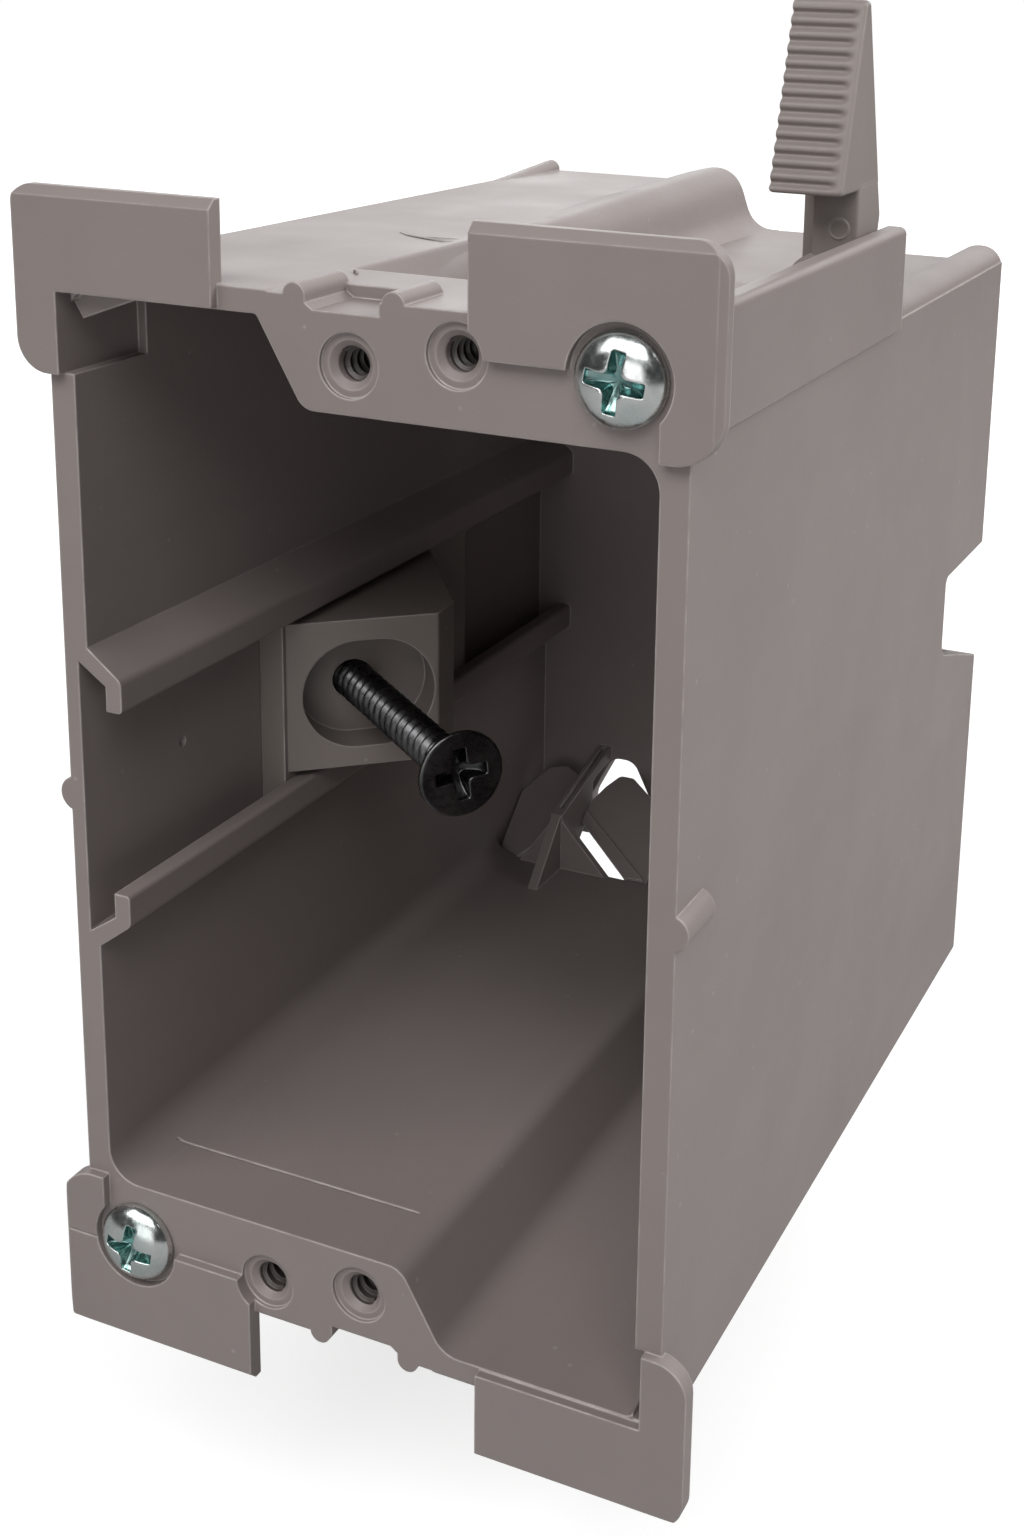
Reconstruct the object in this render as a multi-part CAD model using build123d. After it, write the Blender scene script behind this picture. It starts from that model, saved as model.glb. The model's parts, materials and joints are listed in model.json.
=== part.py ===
from build123d import *
import math
import os

# Drywall back box, single gang, for mounting in a finished wall.
# Millimetres. X across the box, Y from the wall face into the wall, Z up.
# The origin is the centre of the mouth, on the plane of the rim.
# The moulding repeats itself after half a turn about the Y axis, except for the
# channel of the stud bracket, the rear lip and the rear notch.

# Screw spacings: 3-9/32 in for devices, 3-1/2 in for the fixture pair
DEVICE_SPACING = 83.34
FIXTURE_SPACING = DEVICE_SPACING + 5.56
FIXTURE_X = 9.5
FIXTURE_Z = math.sqrt((FIXTURE_SPACING / 2) ** 2 - FIXTURE_X ** 2)
SCREW_HOLE_R = 1.45
SCREW_HOLE_D = 11.0
SINK_R = 2.0             # mouth of the funnel that leads to the hole
SINK_D = 0.9
RING_R = 2.65            # shallow ring round the funnel
RING_D = 0.4

# Shell
HALF_W = 28.8            # outside of the side walls
HALF_H = DEVICE_SPACING / 2 + 5.33      # outside of the end walls at the rim
DEPTH = 94.0
DRAFT = 0.8              # by which an end wall leans in over the depth
SIDE_T = 2.4             # side walls
END_T = 2.0              # end walls
REAR_T = 2.4
STEP_T = 1.8             # end wall where it steps in for the clamp arm
STEP_Z = HALF_H - 7.5    # outside of the end wall there
STEP_X = (-7.3, -2.9)    # top and foot of the slope between the two levels
SIDE_IN = HALF_W - SIDE_T
STEP_IN = STEP_Z - STEP_T
REAR_IN = DEPTH - REAR_T

# Front ring: solid block for the screw holes, thin plate for the clamp screw
BLOCK_X = (-7.4, 14.0)
BLOCK_D = 13.0
PLATE_T = 4.5
SCRIBE = 0.12            # depth of the fine lines in the moulding

# Ears that rest on the face of the wallboard
EAR_FRONT = -0.9
EAR_T = 1.6
EAR_BEVEL = 0.8
EAR_TOP = HALF_H + 6.8
EAR_OUT = HALF_W + 2.6
CLAMP_EAR_X = 10.9       # inner end of the ear beside the clamp screw
PLAIN_EAR_X = 12.0       # inner end of the other ear
CLAMP_EAR_Z = HALF_H - 3.5
PLAIN_EAR_Z = HALF_H - 1.8
CLAMP_LEG = (HALF_W - 2.2, HALF_H - 9.7)     # inner side and foot of the ear's leg
PLAIN_LEG = (HALF_W - 1.5, HALF_H - 8.8)
EAR_STEP = 0.35          # small step in the outline of the lower right ear

# Clamp screw
RUN_GAP = 0.05           # radial clearance of everything that turns or slides
FLOOR_GAP = 0.17         # under the arm when it is turned in
CLAMP_R = 1.75
CLAMP_LEN = 54.0
CLAMP_HEAD_R = 3.75
CLAMP_HEAD_H = 2.3
CLAMP_CROSS = -9.0       # how far the cross recess is turned
HEAD_RELIEF = 0.6        # round the head, in the ear

# Clamp arm, drawn near the end of its screw, heights from the screw's axis
ARM_IN = 3.4             # towards the middle of the box
ARM_OUT = 3.5
ARM_FRONT = CLAMP_LEN - 14.7     # foot of the ribbed face
ARM_FOOT = 9.23          # height of the foot above the axis
ARM_TIP = 26.13
ARM_TIP_Y = (ARM_FRONT + 4.8, ARM_FRONT + 6.0)
ARM_HEEL = (ARM_FRONT + 12.3, 6.43)      # rearmost corner
NECK_FRONT = ARM_FRONT + 5.3
NECK_IN = 0.9
HUB_R = 3.35
HUB_Y = (NECK_FRONT, NECK_FRONT + 6.6)
RIBS = 13
GROOVE_R = 0.36
GROOVE_END = 0.45        # plain border beside the grooves
DIMPLE = (1.7, 5.73, 0.9)        # x and height from the axis, radius

# Axis of the upper clamp screw
CLAMP_X = HALF_W - 5.5
CLAMP_Z = STEP_Z + ARM_OUT + FLOOR_GAP

# Wall beside the clamp arm, and the rolled edge that carries it on to the rear
POCKET_IN = CLAMP_X + ARM_OUT + 0.3
POCKET_OUT = HALF_W + 0.5
POCKET_TOP = HALF_H + 1.5
POCKET_LEN = ARM_HEEL[0] + 0.4
SEAM_Z = STEP_Z - 0.65
ROLL_TOP = STEP_Z + 1.7
ROLL_W = 3.6             # of its top, and of the slope beside it
ROLL_SLOPE = 3.0
ROLL_SUNK = 0.6          # of its base, into the wall
PAD_TOP = (STEP_Z + 1.0, STEP_Z + 1.5)  # raised floor behind the pocket, at its two ends
PAD_X = (-2.2, 13.0)
RIDGE_Y = 5.0            # where the ridge starts, still inside the step

# Channel for the stud bracket on the left wall
CHANNEL_WALL = 1.4 - HALF_W      # inner face of the thinner wall
CHANNEL_Z = 13.0
LIP_IN = CHANNEL_WALL + 2.8
LIP_OUT = LIP_IN + 1.6
LIP_TIP_Z = 8.6
WEB_T = 1.1
SLOT_Z = 3.6             # half height of the screw slot in the wall
SLOT_END = 1.15          # slot beyond the screw at the ends of the travel
TRAVEL_OUT = 8.0         # of the bracket, from where it is drawn
TRAVEL_IN = 10.0
MARK_Y = 14.6            # small dimple in the channel
MARK_R = 0.5

# Stud bracket, x from the channel's lips, y from the rim
BRACKET_Y = (27.7, 66.0)
PLATE_HALF_Z = 11.0
BLOCK_HALF_Z = 7.8
BRACKET_X = LIP_IN - RUN_GAP
WEDGE_W = (11.55, 11.15)         # at its face and at its back
WEDGE_Y = (0.6, 10.9, 14.9, 29.8)        # corners of the wedge behind the plate's front
FACE_LEFT = (BRACKET_X, BRACKET_Y[0] + WEDGE_Y[0])
FACE_RIGHT = (BRACKET_X + WEDGE_W[0], BRACKET_Y[0] + WEDGE_Y[1])
BACK_RIGHT = (BRACKET_X + WEDGE_W[1], BRACKET_Y[0] + WEDGE_Y[2])
BACK_LEFT = (BRACKET_X, BRACKET_Y[0] + WEDGE_Y[3])
SEAT_HALF_L = 6.75
SEAT_HALF_Z = 5.65
SEAT_D = 4.4

# Stud screw, wood thread, countersunk head
STUD_ANGLE = 37.9        # of the axis, from +X towards -Y
STUD_FROM = (6.15, 6.2)  # where the axis leaves the face, from the lips and the plate's front
STUD_POINT = (BRACKET_X + STUD_FROM[0], BRACKET_Y[0] + STUD_FROM[1], -0.1)
STUD_OUT = 22.9          # head above the bracket's face, before it is driven in
STUD_LEN = 34.9
STUD_HEAD_R = 4.15
STUD_HEAD_H = 2.9
STUD_HEAD_RIM = 0.45
STUD_R = 2.05
STUD_TIP_L = 5.0
STUD_CROSS = 6.0

# Cable entries: a window in the stepped end wall, an arch in the rear wall.
# At the upper end a thin skin closes the window.
ENTRY_L = 16.4
ENTRY_Y = DEPTH - ENTRY_L
ENTRY_X = (-SIDE_IN, -5.4)
ENTRY_FOOT = ROLL_SLOPE + ROLL_W + 0.2 - HALF_W    # edge of the window outside, where the slope begins
ENTRY_UP = 3.2           # height above the inner floor that the flaps need at the corner
ENTRY_SKIN = 0.5
TENT_X = -17.6
TENT_TOP = 7.1           # above the inner floor
TENT_FOOT = (-22.9, -10.6)
TENT_T = 1.0
FIN_T = 1.6
ARCH_X = -15.1
ARCH_TOP = 9.35          # above the inner floor
ARCH_HALF_W = (1.5, 4.45, 4.9)       # at the top, the shoulder and the foot
FLAP_ANGLE = 42.0
FLAP_T = 1.0
FLAP_RIM = 0.4           # raised strip along the edge of the inner flap
FLAP_ROOT_R = 0.6
FLAP_HINGE_Y = ENTRY_Y + FLAP_T / 2 + FLAP_RIM + RUN_GAP     # an upright flap stays behind the floor's edge
FLAP_HINGE_Z = -STEP_IN - FLAP_ROOT_R
FLAP_GAP = 0.15          # beside the fin
# outlines: x, and distance from the hinge
INNER_FLAP = [(-5.9, 0), (-8.85, 0), (TENT_X + FIN_T / 2 + FLAP_GAP, 6.05),
              (TENT_X + FIN_T / 2 + FLAP_GAP + 0.1, 9.2), (-15.3, 11.5), (-13.9, 13.3),
              (-12.1, 13.3), (-8.9, 11.1), (-6.3, 8.0)]
INNER_RIM = [(-6.4, 0.25), (-8.85, 0), (TENT_X + FIN_T / 2 + FLAP_GAP, 6.05),
             (TENT_X + FIN_T / 2 + FLAP_GAP + 0.05, 7.7)]
OUTER_FLAP = [(-SIDE_IN + 0.3, 0), (-23.5, 0), (TENT_X - FIN_T / 2 - FLAP_GAP, 5.9),
              (TENT_X - FIN_T / 2 - FLAP_GAP, 9.6), (-19.6, 12.4), (-21.4, 13.2), (-23.6, 12.6),
              (-SIDE_IN + 0.3, 8.6)]

# Small features
NUB_R = 1.6
NUB_OUT = 1.1
NUB_Z = -0.2
NUB_L = 5.6
BEAD_R = 1.0
SADDLE_D = 6.3
RELIEF_D = 10.0          # behind the leg of the plain ear
LIP_R = 1.1              # rear lip on the left edge
LIP_L = 16.0
NOTCH_L = 16.0           # rear notch in the right wall
NOTCH_Z = (-7.5, 6.6)
NOTCH_IN = 4.2


def face_from(points, radii, plane):
    """Flat face through the points, each corner rounded by its own radius."""
    count = len(points)
    edges = []
    ends = []
    for i, (px, py) in enumerate(points):
        r = radii.get(i, 0.0)
        ax, ay = points[i - 1]
        bx, by = points[(i + 1) % count]
        if r == 0:
            ends.append(((px, py), None, (px, py)))
            continue
        ua = Vector(ax - px, ay - py).normalized()
        ub = Vector(bx - px, by - py).normalized()
        half = math.acos(max(-1.0, min(1.0, ua.dot(ub)))) / 2
        run = r / math.tan(half)
        mid = (ua + ub).normalized()
        c = Vector(px, py) + mid * (r / math.sin(half))
        m = c - mid * r
        s = Vector(px, py) + ua * run
        e = Vector(px, py) + ub * run
        ends.append(((s.X, s.Y), (m.X, m.Y), (e.X, e.Y)))
    for i in range(count):
        start, mid, end = ends[i]
        if mid is not None:
            edges.append(ThreePointArc(start, mid, end))
        following = ends[(i + 1) % count][0]
        if (Vector(*end) - Vector(*following)).length > 1e-4:
            edges.append(Line(end, following))
    return plane * make_face(Curve() + edges)


def plane_y(y):
    """Plane across the box at depth y, with X and Z as its axes."""
    return Plane(origin=(0, y, 0), x_dir=(1, 0, 0), z_dir=(0, -1, 0))


def prism_y(points, y0, y1, radii=None):
    """Prism along Y with an outline given as (x, z)."""
    return extrude(face_from(points, radii or {}, plane_y(y0)), amount=-(y1 - y0))


def prism_x(points, x0, x1, radii=None):
    """Prism along X with an outline given as (y, z)."""
    plane = Plane(origin=(x0, 0, 0), x_dir=(0, 1, 0), z_dir=(1, 0, 0))
    return extrude(face_from(points, radii or {}, plane), amount=x1 - x0)


def prism_z(points, z0, z1, radii=None):
    """Prism along Z with an outline given as (x, y)."""
    plane = Plane(origin=(0, 0, z0), x_dir=(1, 0, 0), z_dir=(0, 0, 1))
    return extrude(face_from(points, radii or {}, plane), amount=z1 - z0)


def block(x0, x1, y0, y1, z0, z1):
    """Box between two corners."""
    return Pos((x0 + x1) / 2, (y0 + y1) / 2, (z0 + z1) / 2) * Box(
        abs(x1 - x0), abs(y1 - y0), abs(z1 - z0))


def rod_y(x, z, r, y0, y1):
    """Round bar along Y."""
    return Pos(x, (y0 + y1) / 2, z) * Rot(90, 0, 0) * Cylinder(r, abs(y1 - y0))


def half_turn(shape):
    """The same feature at the other end of the box."""
    return shape.rotate(Axis.Y, 180)


def both_ends(shape):
    """Feature of the upper end together with its copy at the lower end."""
    return shape + half_turn(shape)


def end_height(y):
    """Outside height of an end wall at depth y, with its draft."""
    return HALF_H - DRAFT * y / DEPTH


def outer_face(y):
    """Outline of the body at depth y."""
    top = end_height(y)
    half = [(-HALF_W, top), (STEP_X[0], top), (STEP_X[1], STEP_Z), (HALF_W, STEP_Z)]
    points = half + [(-x, -z) for x, z in half]
    return face_from(points, {0: 0.8, 1: 0.6, 2: 0.6, 4: 0.8, 5: 0.6, 6: 0.6}, plane_y(y))


def inner_face(y):
    """Outline of the cavity at depth y."""
    top = end_height(y) - END_T
    half = [(-SIDE_IN, top), (STEP_X[0] - 1.1, top), (STEP_X[1] - 1.3, STEP_IN), (SIDE_IN, STEP_IN)]
    points = half + [(-x, -z) for x, z in half]
    radii = {0: 0.8, 1: 0.5, 2: 1.8, 3: 3.0, 4: 0.8, 5: 2.6, 6: 2.2, 7: 3.0}
    return face_from(points, radii, plane_y(y))


def front_ring():
    """Solid block behind the screw holes and thin plate behind the clamp screw."""
    ring = block(BLOCK_X[0], BLOCK_X[1], 0, BLOCK_D, STEP_IN, end_height(BLOCK_D))
    return ring + block(BLOCK_X[1] - 1, HALF_W, 0, PLATE_T, STEP_IN, end_height(BLOCK_D))


def pocket_wall():
    """Wall beside the clamp arm, proud of the side wall above the seam."""
    inside = HALF_W - 0.4
    wall = prism_y([(POCKET_IN, STEP_IN + 0.5), (POCKET_IN, POCKET_TOP), (POCKET_OUT, POCKET_TOP),
                    (POCKET_OUT, SEAM_Z), (inside, SEAM_Z), (inside, STEP_IN + 0.5)],
                   0, POCKET_LEN, {1: 0.5, 2: 0.7})
    return wall - block(HALF_W, POCKET_OUT + 1, -1, 5.8, SEAM_Z - 1, SEAM_Z + 0.01)


def rolled_edge():
    """Rounded edge that carries the side wall on behind the pocket, and the raised floor."""
    base = STEP_Z - ROLL_SUNK
    inner = HALF_W - ROLL_W
    roll = prism_y([(inner - ROLL_SLOPE, base), (inner, ROLL_TOP), (HALF_W, ROLL_TOP),
                    (HALF_W, base - ROLL_SUNK), (inner, base - ROLL_SUNK)],
                   POCKET_LEN - 0.6, DEPTH, {1: 2.6, 2: 2.4})
    pad = prism_x([(POCKET_LEN + 1, base), (POCKET_LEN + 8, PAD_TOP[0]), (DEPTH, PAD_TOP[1]),
                   (DEPTH, base)], PAD_X[0], PAD_X[1], {1: 3.0})
    return roll + pad


def ridge_face(y, points):
    """Section of the ridge: a smooth crest over a flat foot."""
    foot = STEP_Z - 0.5
    crest = Spline(*points, tangents=((1, 0), (1, 0)))
    sides = Polyline(points[-1], (points[-1][0], foot), (points[0][0], foot), points[0])
    return plane_y(y) * make_face(Curve() + [crest] + sides.edges())


def ridge():
    """Ridge along the edge of the step, higher towards the rear and clear of the turned in arm."""
    left, foot = STEP_X
    front = [(left - 6.7, HALF_H - 1.7), (left - 4.2, HALF_H - 1.6), (left - 1.7, HALF_H - 1.6),
             (left - 0.3, HALF_H - 1.9), (left + 0.4, HALF_H - 2.6), (left + 1.1, HALF_H - 3.8),
             (foot - 2.0, STEP_Z + 1.4), (foot - 1.3, STEP_Z - 0.1), (foot - 0.3, STEP_Z - 0.4)]
    middle = [(left - 6.2, HALF_H - 1.3), (left - 3.7, HALF_H - 0.85), (left - 1.3, HALF_H - 0.5),
              (left + 0.8, HALF_H - 0.5), (left + 2.0, HALF_H - 1.3), (left + 2.9, HALF_H - 2.9),
              (foot - 0.75, STEP_Z + 1.9), (foot - 0.3, STEP_Z + 0.5), (foot - 0.05, STEP_Z - 0.3)]
    rear = [(left - 5.7, HALF_H - 0.9), (left - 3.2, HALF_H - 0.2), (left - 0.9, HALF_H + 0.5),
            (left + 1.86, HALF_H + 0.85), (left + 3.6, HALF_H + 0.05), (left + 4.8, HALF_H - 1.8),
            (foot + 1.8, STEP_Z + 2.6), (foot + 3.2, STEP_Z + 1.7), (foot + 5.0, STEP_Z + 1.55)]
    sections = [ridge_face(RIDGE_Y, front), ridge_face(POCKET_LEN, middle), ridge_face(DEPTH, rear)]
    return loft(sections, ruled=True)


def saddle_top():
    """Cut in the top of the block over the device hole."""
    rise = HALF_H + 1
    floor = HALF_H - 1.2
    return prism_y([(-3.9, rise), (-3.9, floor + 0.5), (-3.2, floor), (2.8, floor), (2.8, rise)],
                   -1, SADDLE_D)


def beads():
    """Half round bars beside the saddle."""
    made = None
    for x, length in ((-4.9, SADDLE_D + 0.4), (4.0, SADDLE_D - 0.1)):
        bead = rod_y(x, HALF_H - 0.15, BEAD_R, 0, length)
        bead &= block(x - 2, x + 2, -1, length + 1, HALF_H - 0.6, HALF_H + 2)
        made = bead if made is None else made + bead
    return made


def clamp_ear():
    """Ear beside a clamp screw, with its relief for the screw head."""
    leg_x, leg_z = CLAMP_LEG
    ear = prism_y([(CLAMP_EAR_X, CLAMP_EAR_Z), (leg_x, CLAMP_EAR_Z), (leg_x, leg_z), (EAR_OUT, leg_z),
                   (EAR_OUT, EAR_TOP), (CLAMP_EAR_X, EAR_TOP)],
                  EAR_FRONT, EAR_FRONT + EAR_T, {1: 0.5, 3: 3.6, 4: 2.6})
    ear -= rod_y(CLAMP_X, CLAMP_Z, CLAMP_HEAD_R + HEAD_RELIEF, EAR_FRONT - 1, 0)
    side = prism_z([(EAR_OUT - 0.6, EAR_FRONT - 0.01), (EAR_OUT + 0.01, EAR_FRONT + 0.6),
                    (EAR_OUT + 0.01, EAR_FRONT - 0.01)], leg_z - 1, EAR_TOP + 1)
    return ear - ear_bevel() - side


def plain_ear(corner, step):
    """Ear at a corner without a clamp screw.

    corner rounds the outer corner, step lowers the outline's last stretch.
    """
    leg_x, leg_z = PLAIN_LEG
    ear = prism_y([(-PLAIN_EAR_X, PLAIN_EAR_Z), (-PLAIN_EAR_X, EAR_TOP), (-EAR_OUT, EAR_TOP),
                   (-EAR_OUT, leg_z), (-leg_x, leg_z), (-leg_x, PLAIN_EAR_Z)],
                  EAR_FRONT, EAR_FRONT + EAR_T, {2: corner, 3: 3.0})
    ear -= ear_bevel()
    if step > 0:
        ear -= block(-leg_x + 1.2, -PLAIN_EAR_X + 1, EAR_FRONT - 1, 2, EAR_TOP - step, EAR_TOP + 1)
    return ear


def ear_bevel():
    """Wedge that bevels the outer edge of an ear."""
    return prism_x([(EAR_FRONT - 0.01, EAR_TOP - EAR_BEVEL), (EAR_FRONT + EAR_BEVEL, EAR_TOP + 0.01),
                    (EAR_FRONT - 0.01, EAR_TOP + 0.01)], -EAR_OUT - 1, EAR_OUT + 1)


def channel_rails():
    """Hooked rails above and below the stud bracket."""
    root = CHANNEL_WALL - 0.3
    back = CHANNEL_Z + WEB_T + 0.3
    rail = prism_y([(root, CHANNEL_Z), (LIP_IN, CHANNEL_Z - 2.1), (LIP_IN, LIP_TIP_Z),
                    (LIP_OUT, LIP_TIP_Z), (LIP_OUT, CHANNEL_Z - 1.5), (-SIDE_IN, CHANNEL_Z + WEB_T),
                    (-SIDE_IN - 0.5, back), (root, back)], 0, REAR_IN + 0.2, {3: 0.4, 4: 0.8})
    return rail + mirror(rail, about=Plane.XY)


def screw_slot():
    """Slot in the left wall through which the stud screw passes."""
    slope = math.tan(math.radians(STUD_ANGLE))
    inside = STUD_POINT[1] + (STUD_POINT[0] - CHANNEL_WALL) * slope
    outside = STUD_POINT[1] + (STUD_POINT[0] + HALF_W) * slope
    reach = STUD_R / math.cos(math.radians(STUD_ANGLE)) + SLOT_END
    y0 = inside - reach - TRAVEL_OUT
    y1 = outside + reach + TRAVEL_IN
    corner = SLOT_Z - 0.1
    return prism_x([(y0, -SLOT_Z), (y1, -SLOT_Z), (y1, SLOT_Z), (y0, SLOT_Z)],
                   -HALF_W - 1, CHANNEL_WALL + 0.5, {0: corner, 1: corner, 2: corner, 3: corner})


def nub():
    """Half round snap bar at the rim of a side wall."""
    bar = rod_y(HALF_W - NUB_R + NUB_OUT, NUB_Z, NUB_R, 0, NUB_L)
    return bar & block(HALF_W - 0.5, HALF_W + 3, -1, NUB_L + 1, -4, 4)


def rear_notch():
    """Notch through the rear edge of the right wall."""
    low, high = NOTCH_Z
    start = DEPTH - NOTCH_L
    return prism_x([(start, high), (DEPTH + 1, high), (DEPTH + 1, low), (DEPTH - 0.4, low + 0.2),
                    (start + 6, low + 3.3), (start, low + 5.1)],
                   HALF_W - NOTCH_IN, HALF_W + 1, {0: 1.0, 5: 2.2})


def rear_lip():
    """Thin round lip that rises from the left edge of the top towards the rear."""
    z = end_height(DEPTH) + 0.1
    x = LIP_R - HALF_W
    start = Vector(x, DEPTH - LIP_L, z - LIP_R)
    end = Vector(x, DEPTH, z)
    along = (end - start).normalized()
    bar = extrude(Plane(origin=start, z_dir=along) * Circle(LIP_R), amount=(end - start).length + 1)
    return bar & block(-HALF_W, 0, 0, DEPTH, z - 1.4, z + 2)


def corner_gusset():
    """Small triangular gusset in the upper left corner of the mouth."""
    top = end_height(0) - END_T + 0.1
    return prism_y([(-SIDE_IN - 1.0, top), (-SIDE_IN + 6.5, top), (-SIDE_IN + 0.4, top - 2.3)],
                   1.0, 1.9)


def screw_hole(x, z):
    """Blind screw hole with its funnel and ring."""
    hole = rod_y(x, z, RING_R, -1, RING_D)
    funnel = Plane(origin=(x, RING_D, z), z_dir=(0, 1, 0)) * Circle(SINK_R)
    hole += loft([funnel, Plane(origin=(x, SINK_D, z), z_dir=(0, 1, 0)) * Circle(SCREW_HOLE_R)])
    return hole + rod_y(x, z, SCREW_HOLE_R, -1, SCREW_HOLE_D)


def entry_cut(outside):
    """Window in the stepped end wall and arch in the rear wall, cut out to the height outside."""
    cut = block(ENTRY_X[0], ENTRY_X[1], ENTRY_Y, REAR_IN, -min(outside, STEP_Z),
                -STEP_IN + ENTRY_UP)
    if outside > STEP_Z:
        cut += block(ENTRY_FOOT, ENTRY_X[1], ENTRY_Y, REAR_IN, -outside, -STEP_IN)
    top, shoulder, foot = ARCH_HALF_W
    crown = ARCH_TOP - STEP_IN
    arch = prism_y([(ARCH_X - foot, -outside), (ARCH_X - shoulder, -STEP_IN + 3.5),
                    (ARCH_X - top, crown), (ARCH_X + top, crown),
                    (ARCH_X + shoulder, -STEP_IN + 3.5), (ARCH_X + foot, -outside)],
                   REAR_IN - 0.5, DEPTH + 1, {1: 3.0, 2: 1.9, 3: 1.9, 4: 3.0})
    return cut + arch


def entry_divider():
    """Tent between the two flaps, with its gusset in front and its fin behind."""
    floor = -STEP_IN
    apex = floor + TENT_TOP
    front = ENTRY_Y - 0.6
    back = front + TENT_T
    left, right = TENT_FOOT
    tent = prism_y([(left, floor - 1.6), (right, floor - 1.6), (right, floor - 0.5), (TENT_X, apex),
                    (left, floor - 0.5)], front, back)
    gusset = prism_x([(front - 7, floor - 0.3), (front, apex), (back, apex), (back, floor - 0.3)],
                     TENT_X - 0.6, TENT_X + 0.6)
    fin_end = REAR_IN - 5.6
    fin = prism_x([(front, apex - 1.2), (front, apex), (REAR_IN + 0.3, floor + ARCH_TOP + 1.6),
                   (REAR_IN + 0.3, floor + ARCH_TOP - 0.2), (fin_end + 1.0, floor + 8.5),
                   (fin_end, floor + 8.0), (fin_end, floor + 4.8), (back + 1.2, floor - 0.4),
                   (back, floor + 0.2)], TENT_X - FIN_T / 2, TENT_X + FIN_T / 2)
    groove = prism_x([(front + 1.4, apex + 0.1), (front + 1.4, apex + 3),
                      (REAR_IN - 0.4, floor + ARCH_TOP + 4), (REAR_IN - 0.4, floor + ARCH_TOP + 0.9)],
                     TENT_X - 0.25, TENT_X + 0.25)
    return tent + gusset + fin - groove


def box_shell():
    """The whole moulding."""
    shell = loft([outer_face(0), outer_face(DEPTH)], ruled=True)
    for feature in (front_ring(), pocket_wall(), rolled_edge(), ridge()):
        shell += both_ends(feature)
    shell -= loft([inner_face(-1), inner_face(REAR_IN)], ruled=True)
    shell += rear_lip()
    shell -= both_ends(saddle_top())
    shell += both_ends(beads())
    shell += both_ends(clamp_ear()) + plain_ear(1.4, 0) + half_turn(plain_ear(2.6, EAR_STEP))
    leg_x, leg_z = PLAIN_LEG
    relief = block(-leg_x, -SIDE_IN + 0.01, -2, RELIEF_D, leg_z, PLAIN_EAR_Z - 0.2)
    shell -= both_ends(relief)
    shell += corner_gusset()
    shell -= block(CHANNEL_WALL, -SIDE_IN + 0.01, -1, REAR_IN, -CHANNEL_Z, CHANNEL_Z)
    shell += channel_rails()
    shell -= screw_slot()
    shell += both_ends(nub())
    shell -= rear_notch()
    for x, z in ((0.0, DEVICE_SPACING / 2), (FIXTURE_X, FIXTURE_Z)):
        shell -= both_ends(screw_hole(x, z))
    shell -= both_ends(rod_y(CLAMP_X, CLAMP_Z, CLAMP_R + RUN_GAP, -1, PLATE_T + 1))
    shell -= entry_cut(STEP_Z + 3) + half_turn(entry_cut(STEP_Z - ENTRY_SKIN))
    shell += both_ends(entry_divider())
    shell -= block(-SIDE_IN + 1.8, 1.8, 7.6, 7.8, -STEP_IN - SCRIBE, -STEP_IN + 0.2)
    shell -= block(-EAR_OUT - 1, -CLAMP_LEG[0] - 0.4, EAR_FRONT - 1, EAR_FRONT + SCRIBE,
                   -CLAMP_EAR_Z - 0.35, -CLAMP_EAR_Z - 0.15)
    shell -= Pos(CHANNEL_WALL, MARK_Y, 0) * Sphere(MARK_R)
    return shell


def flap(outline, rim):
    """Spring tongue in the cable entry, closed. rim is the outline of its raised strip, or None."""
    xs = [x for x, reach in outline if reach == 0]
    rounded = {i: 0.9 for i, (x, reach) in enumerate(outline) if reach > 9}
    tongue = prism_z(outline, -FLAP_T / 2, FLAP_T / 2, rounded)
    if rim:
        tongue += prism_z(rim, 0, FLAP_T / 2 + FLAP_RIM)
    root = Rot(0, 90, 0) * Cylinder(FLAP_ROOT_R, max(xs) - min(xs))
    tongue += Pos(sum(xs) / len(xs), 0, 0) * root
    return Pos(0, FLAP_HINGE_Y, FLAP_HINGE_Z) * Rot(FLAP_ANGLE, 0, 0) * tongue


def cross_recess(depth, arm, width):
    """Cross shaped driver recess, its top on the plane z = 0."""
    cut = extrude(Rectangle(2 * arm, width), amount=-depth, taper=12)
    return cut + extrude(Rectangle(width, 2 * arm), amount=-depth, taper=12)


def stud_plane():
    """Plane across the stud screw where its axis leaves the bracket's face."""
    lean = math.radians(STUD_ANGLE)
    return Plane(origin=STUD_POINT, x_dir=(0, 0, 1), z_dir=(math.cos(lean), -math.sin(lean), 0))


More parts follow.
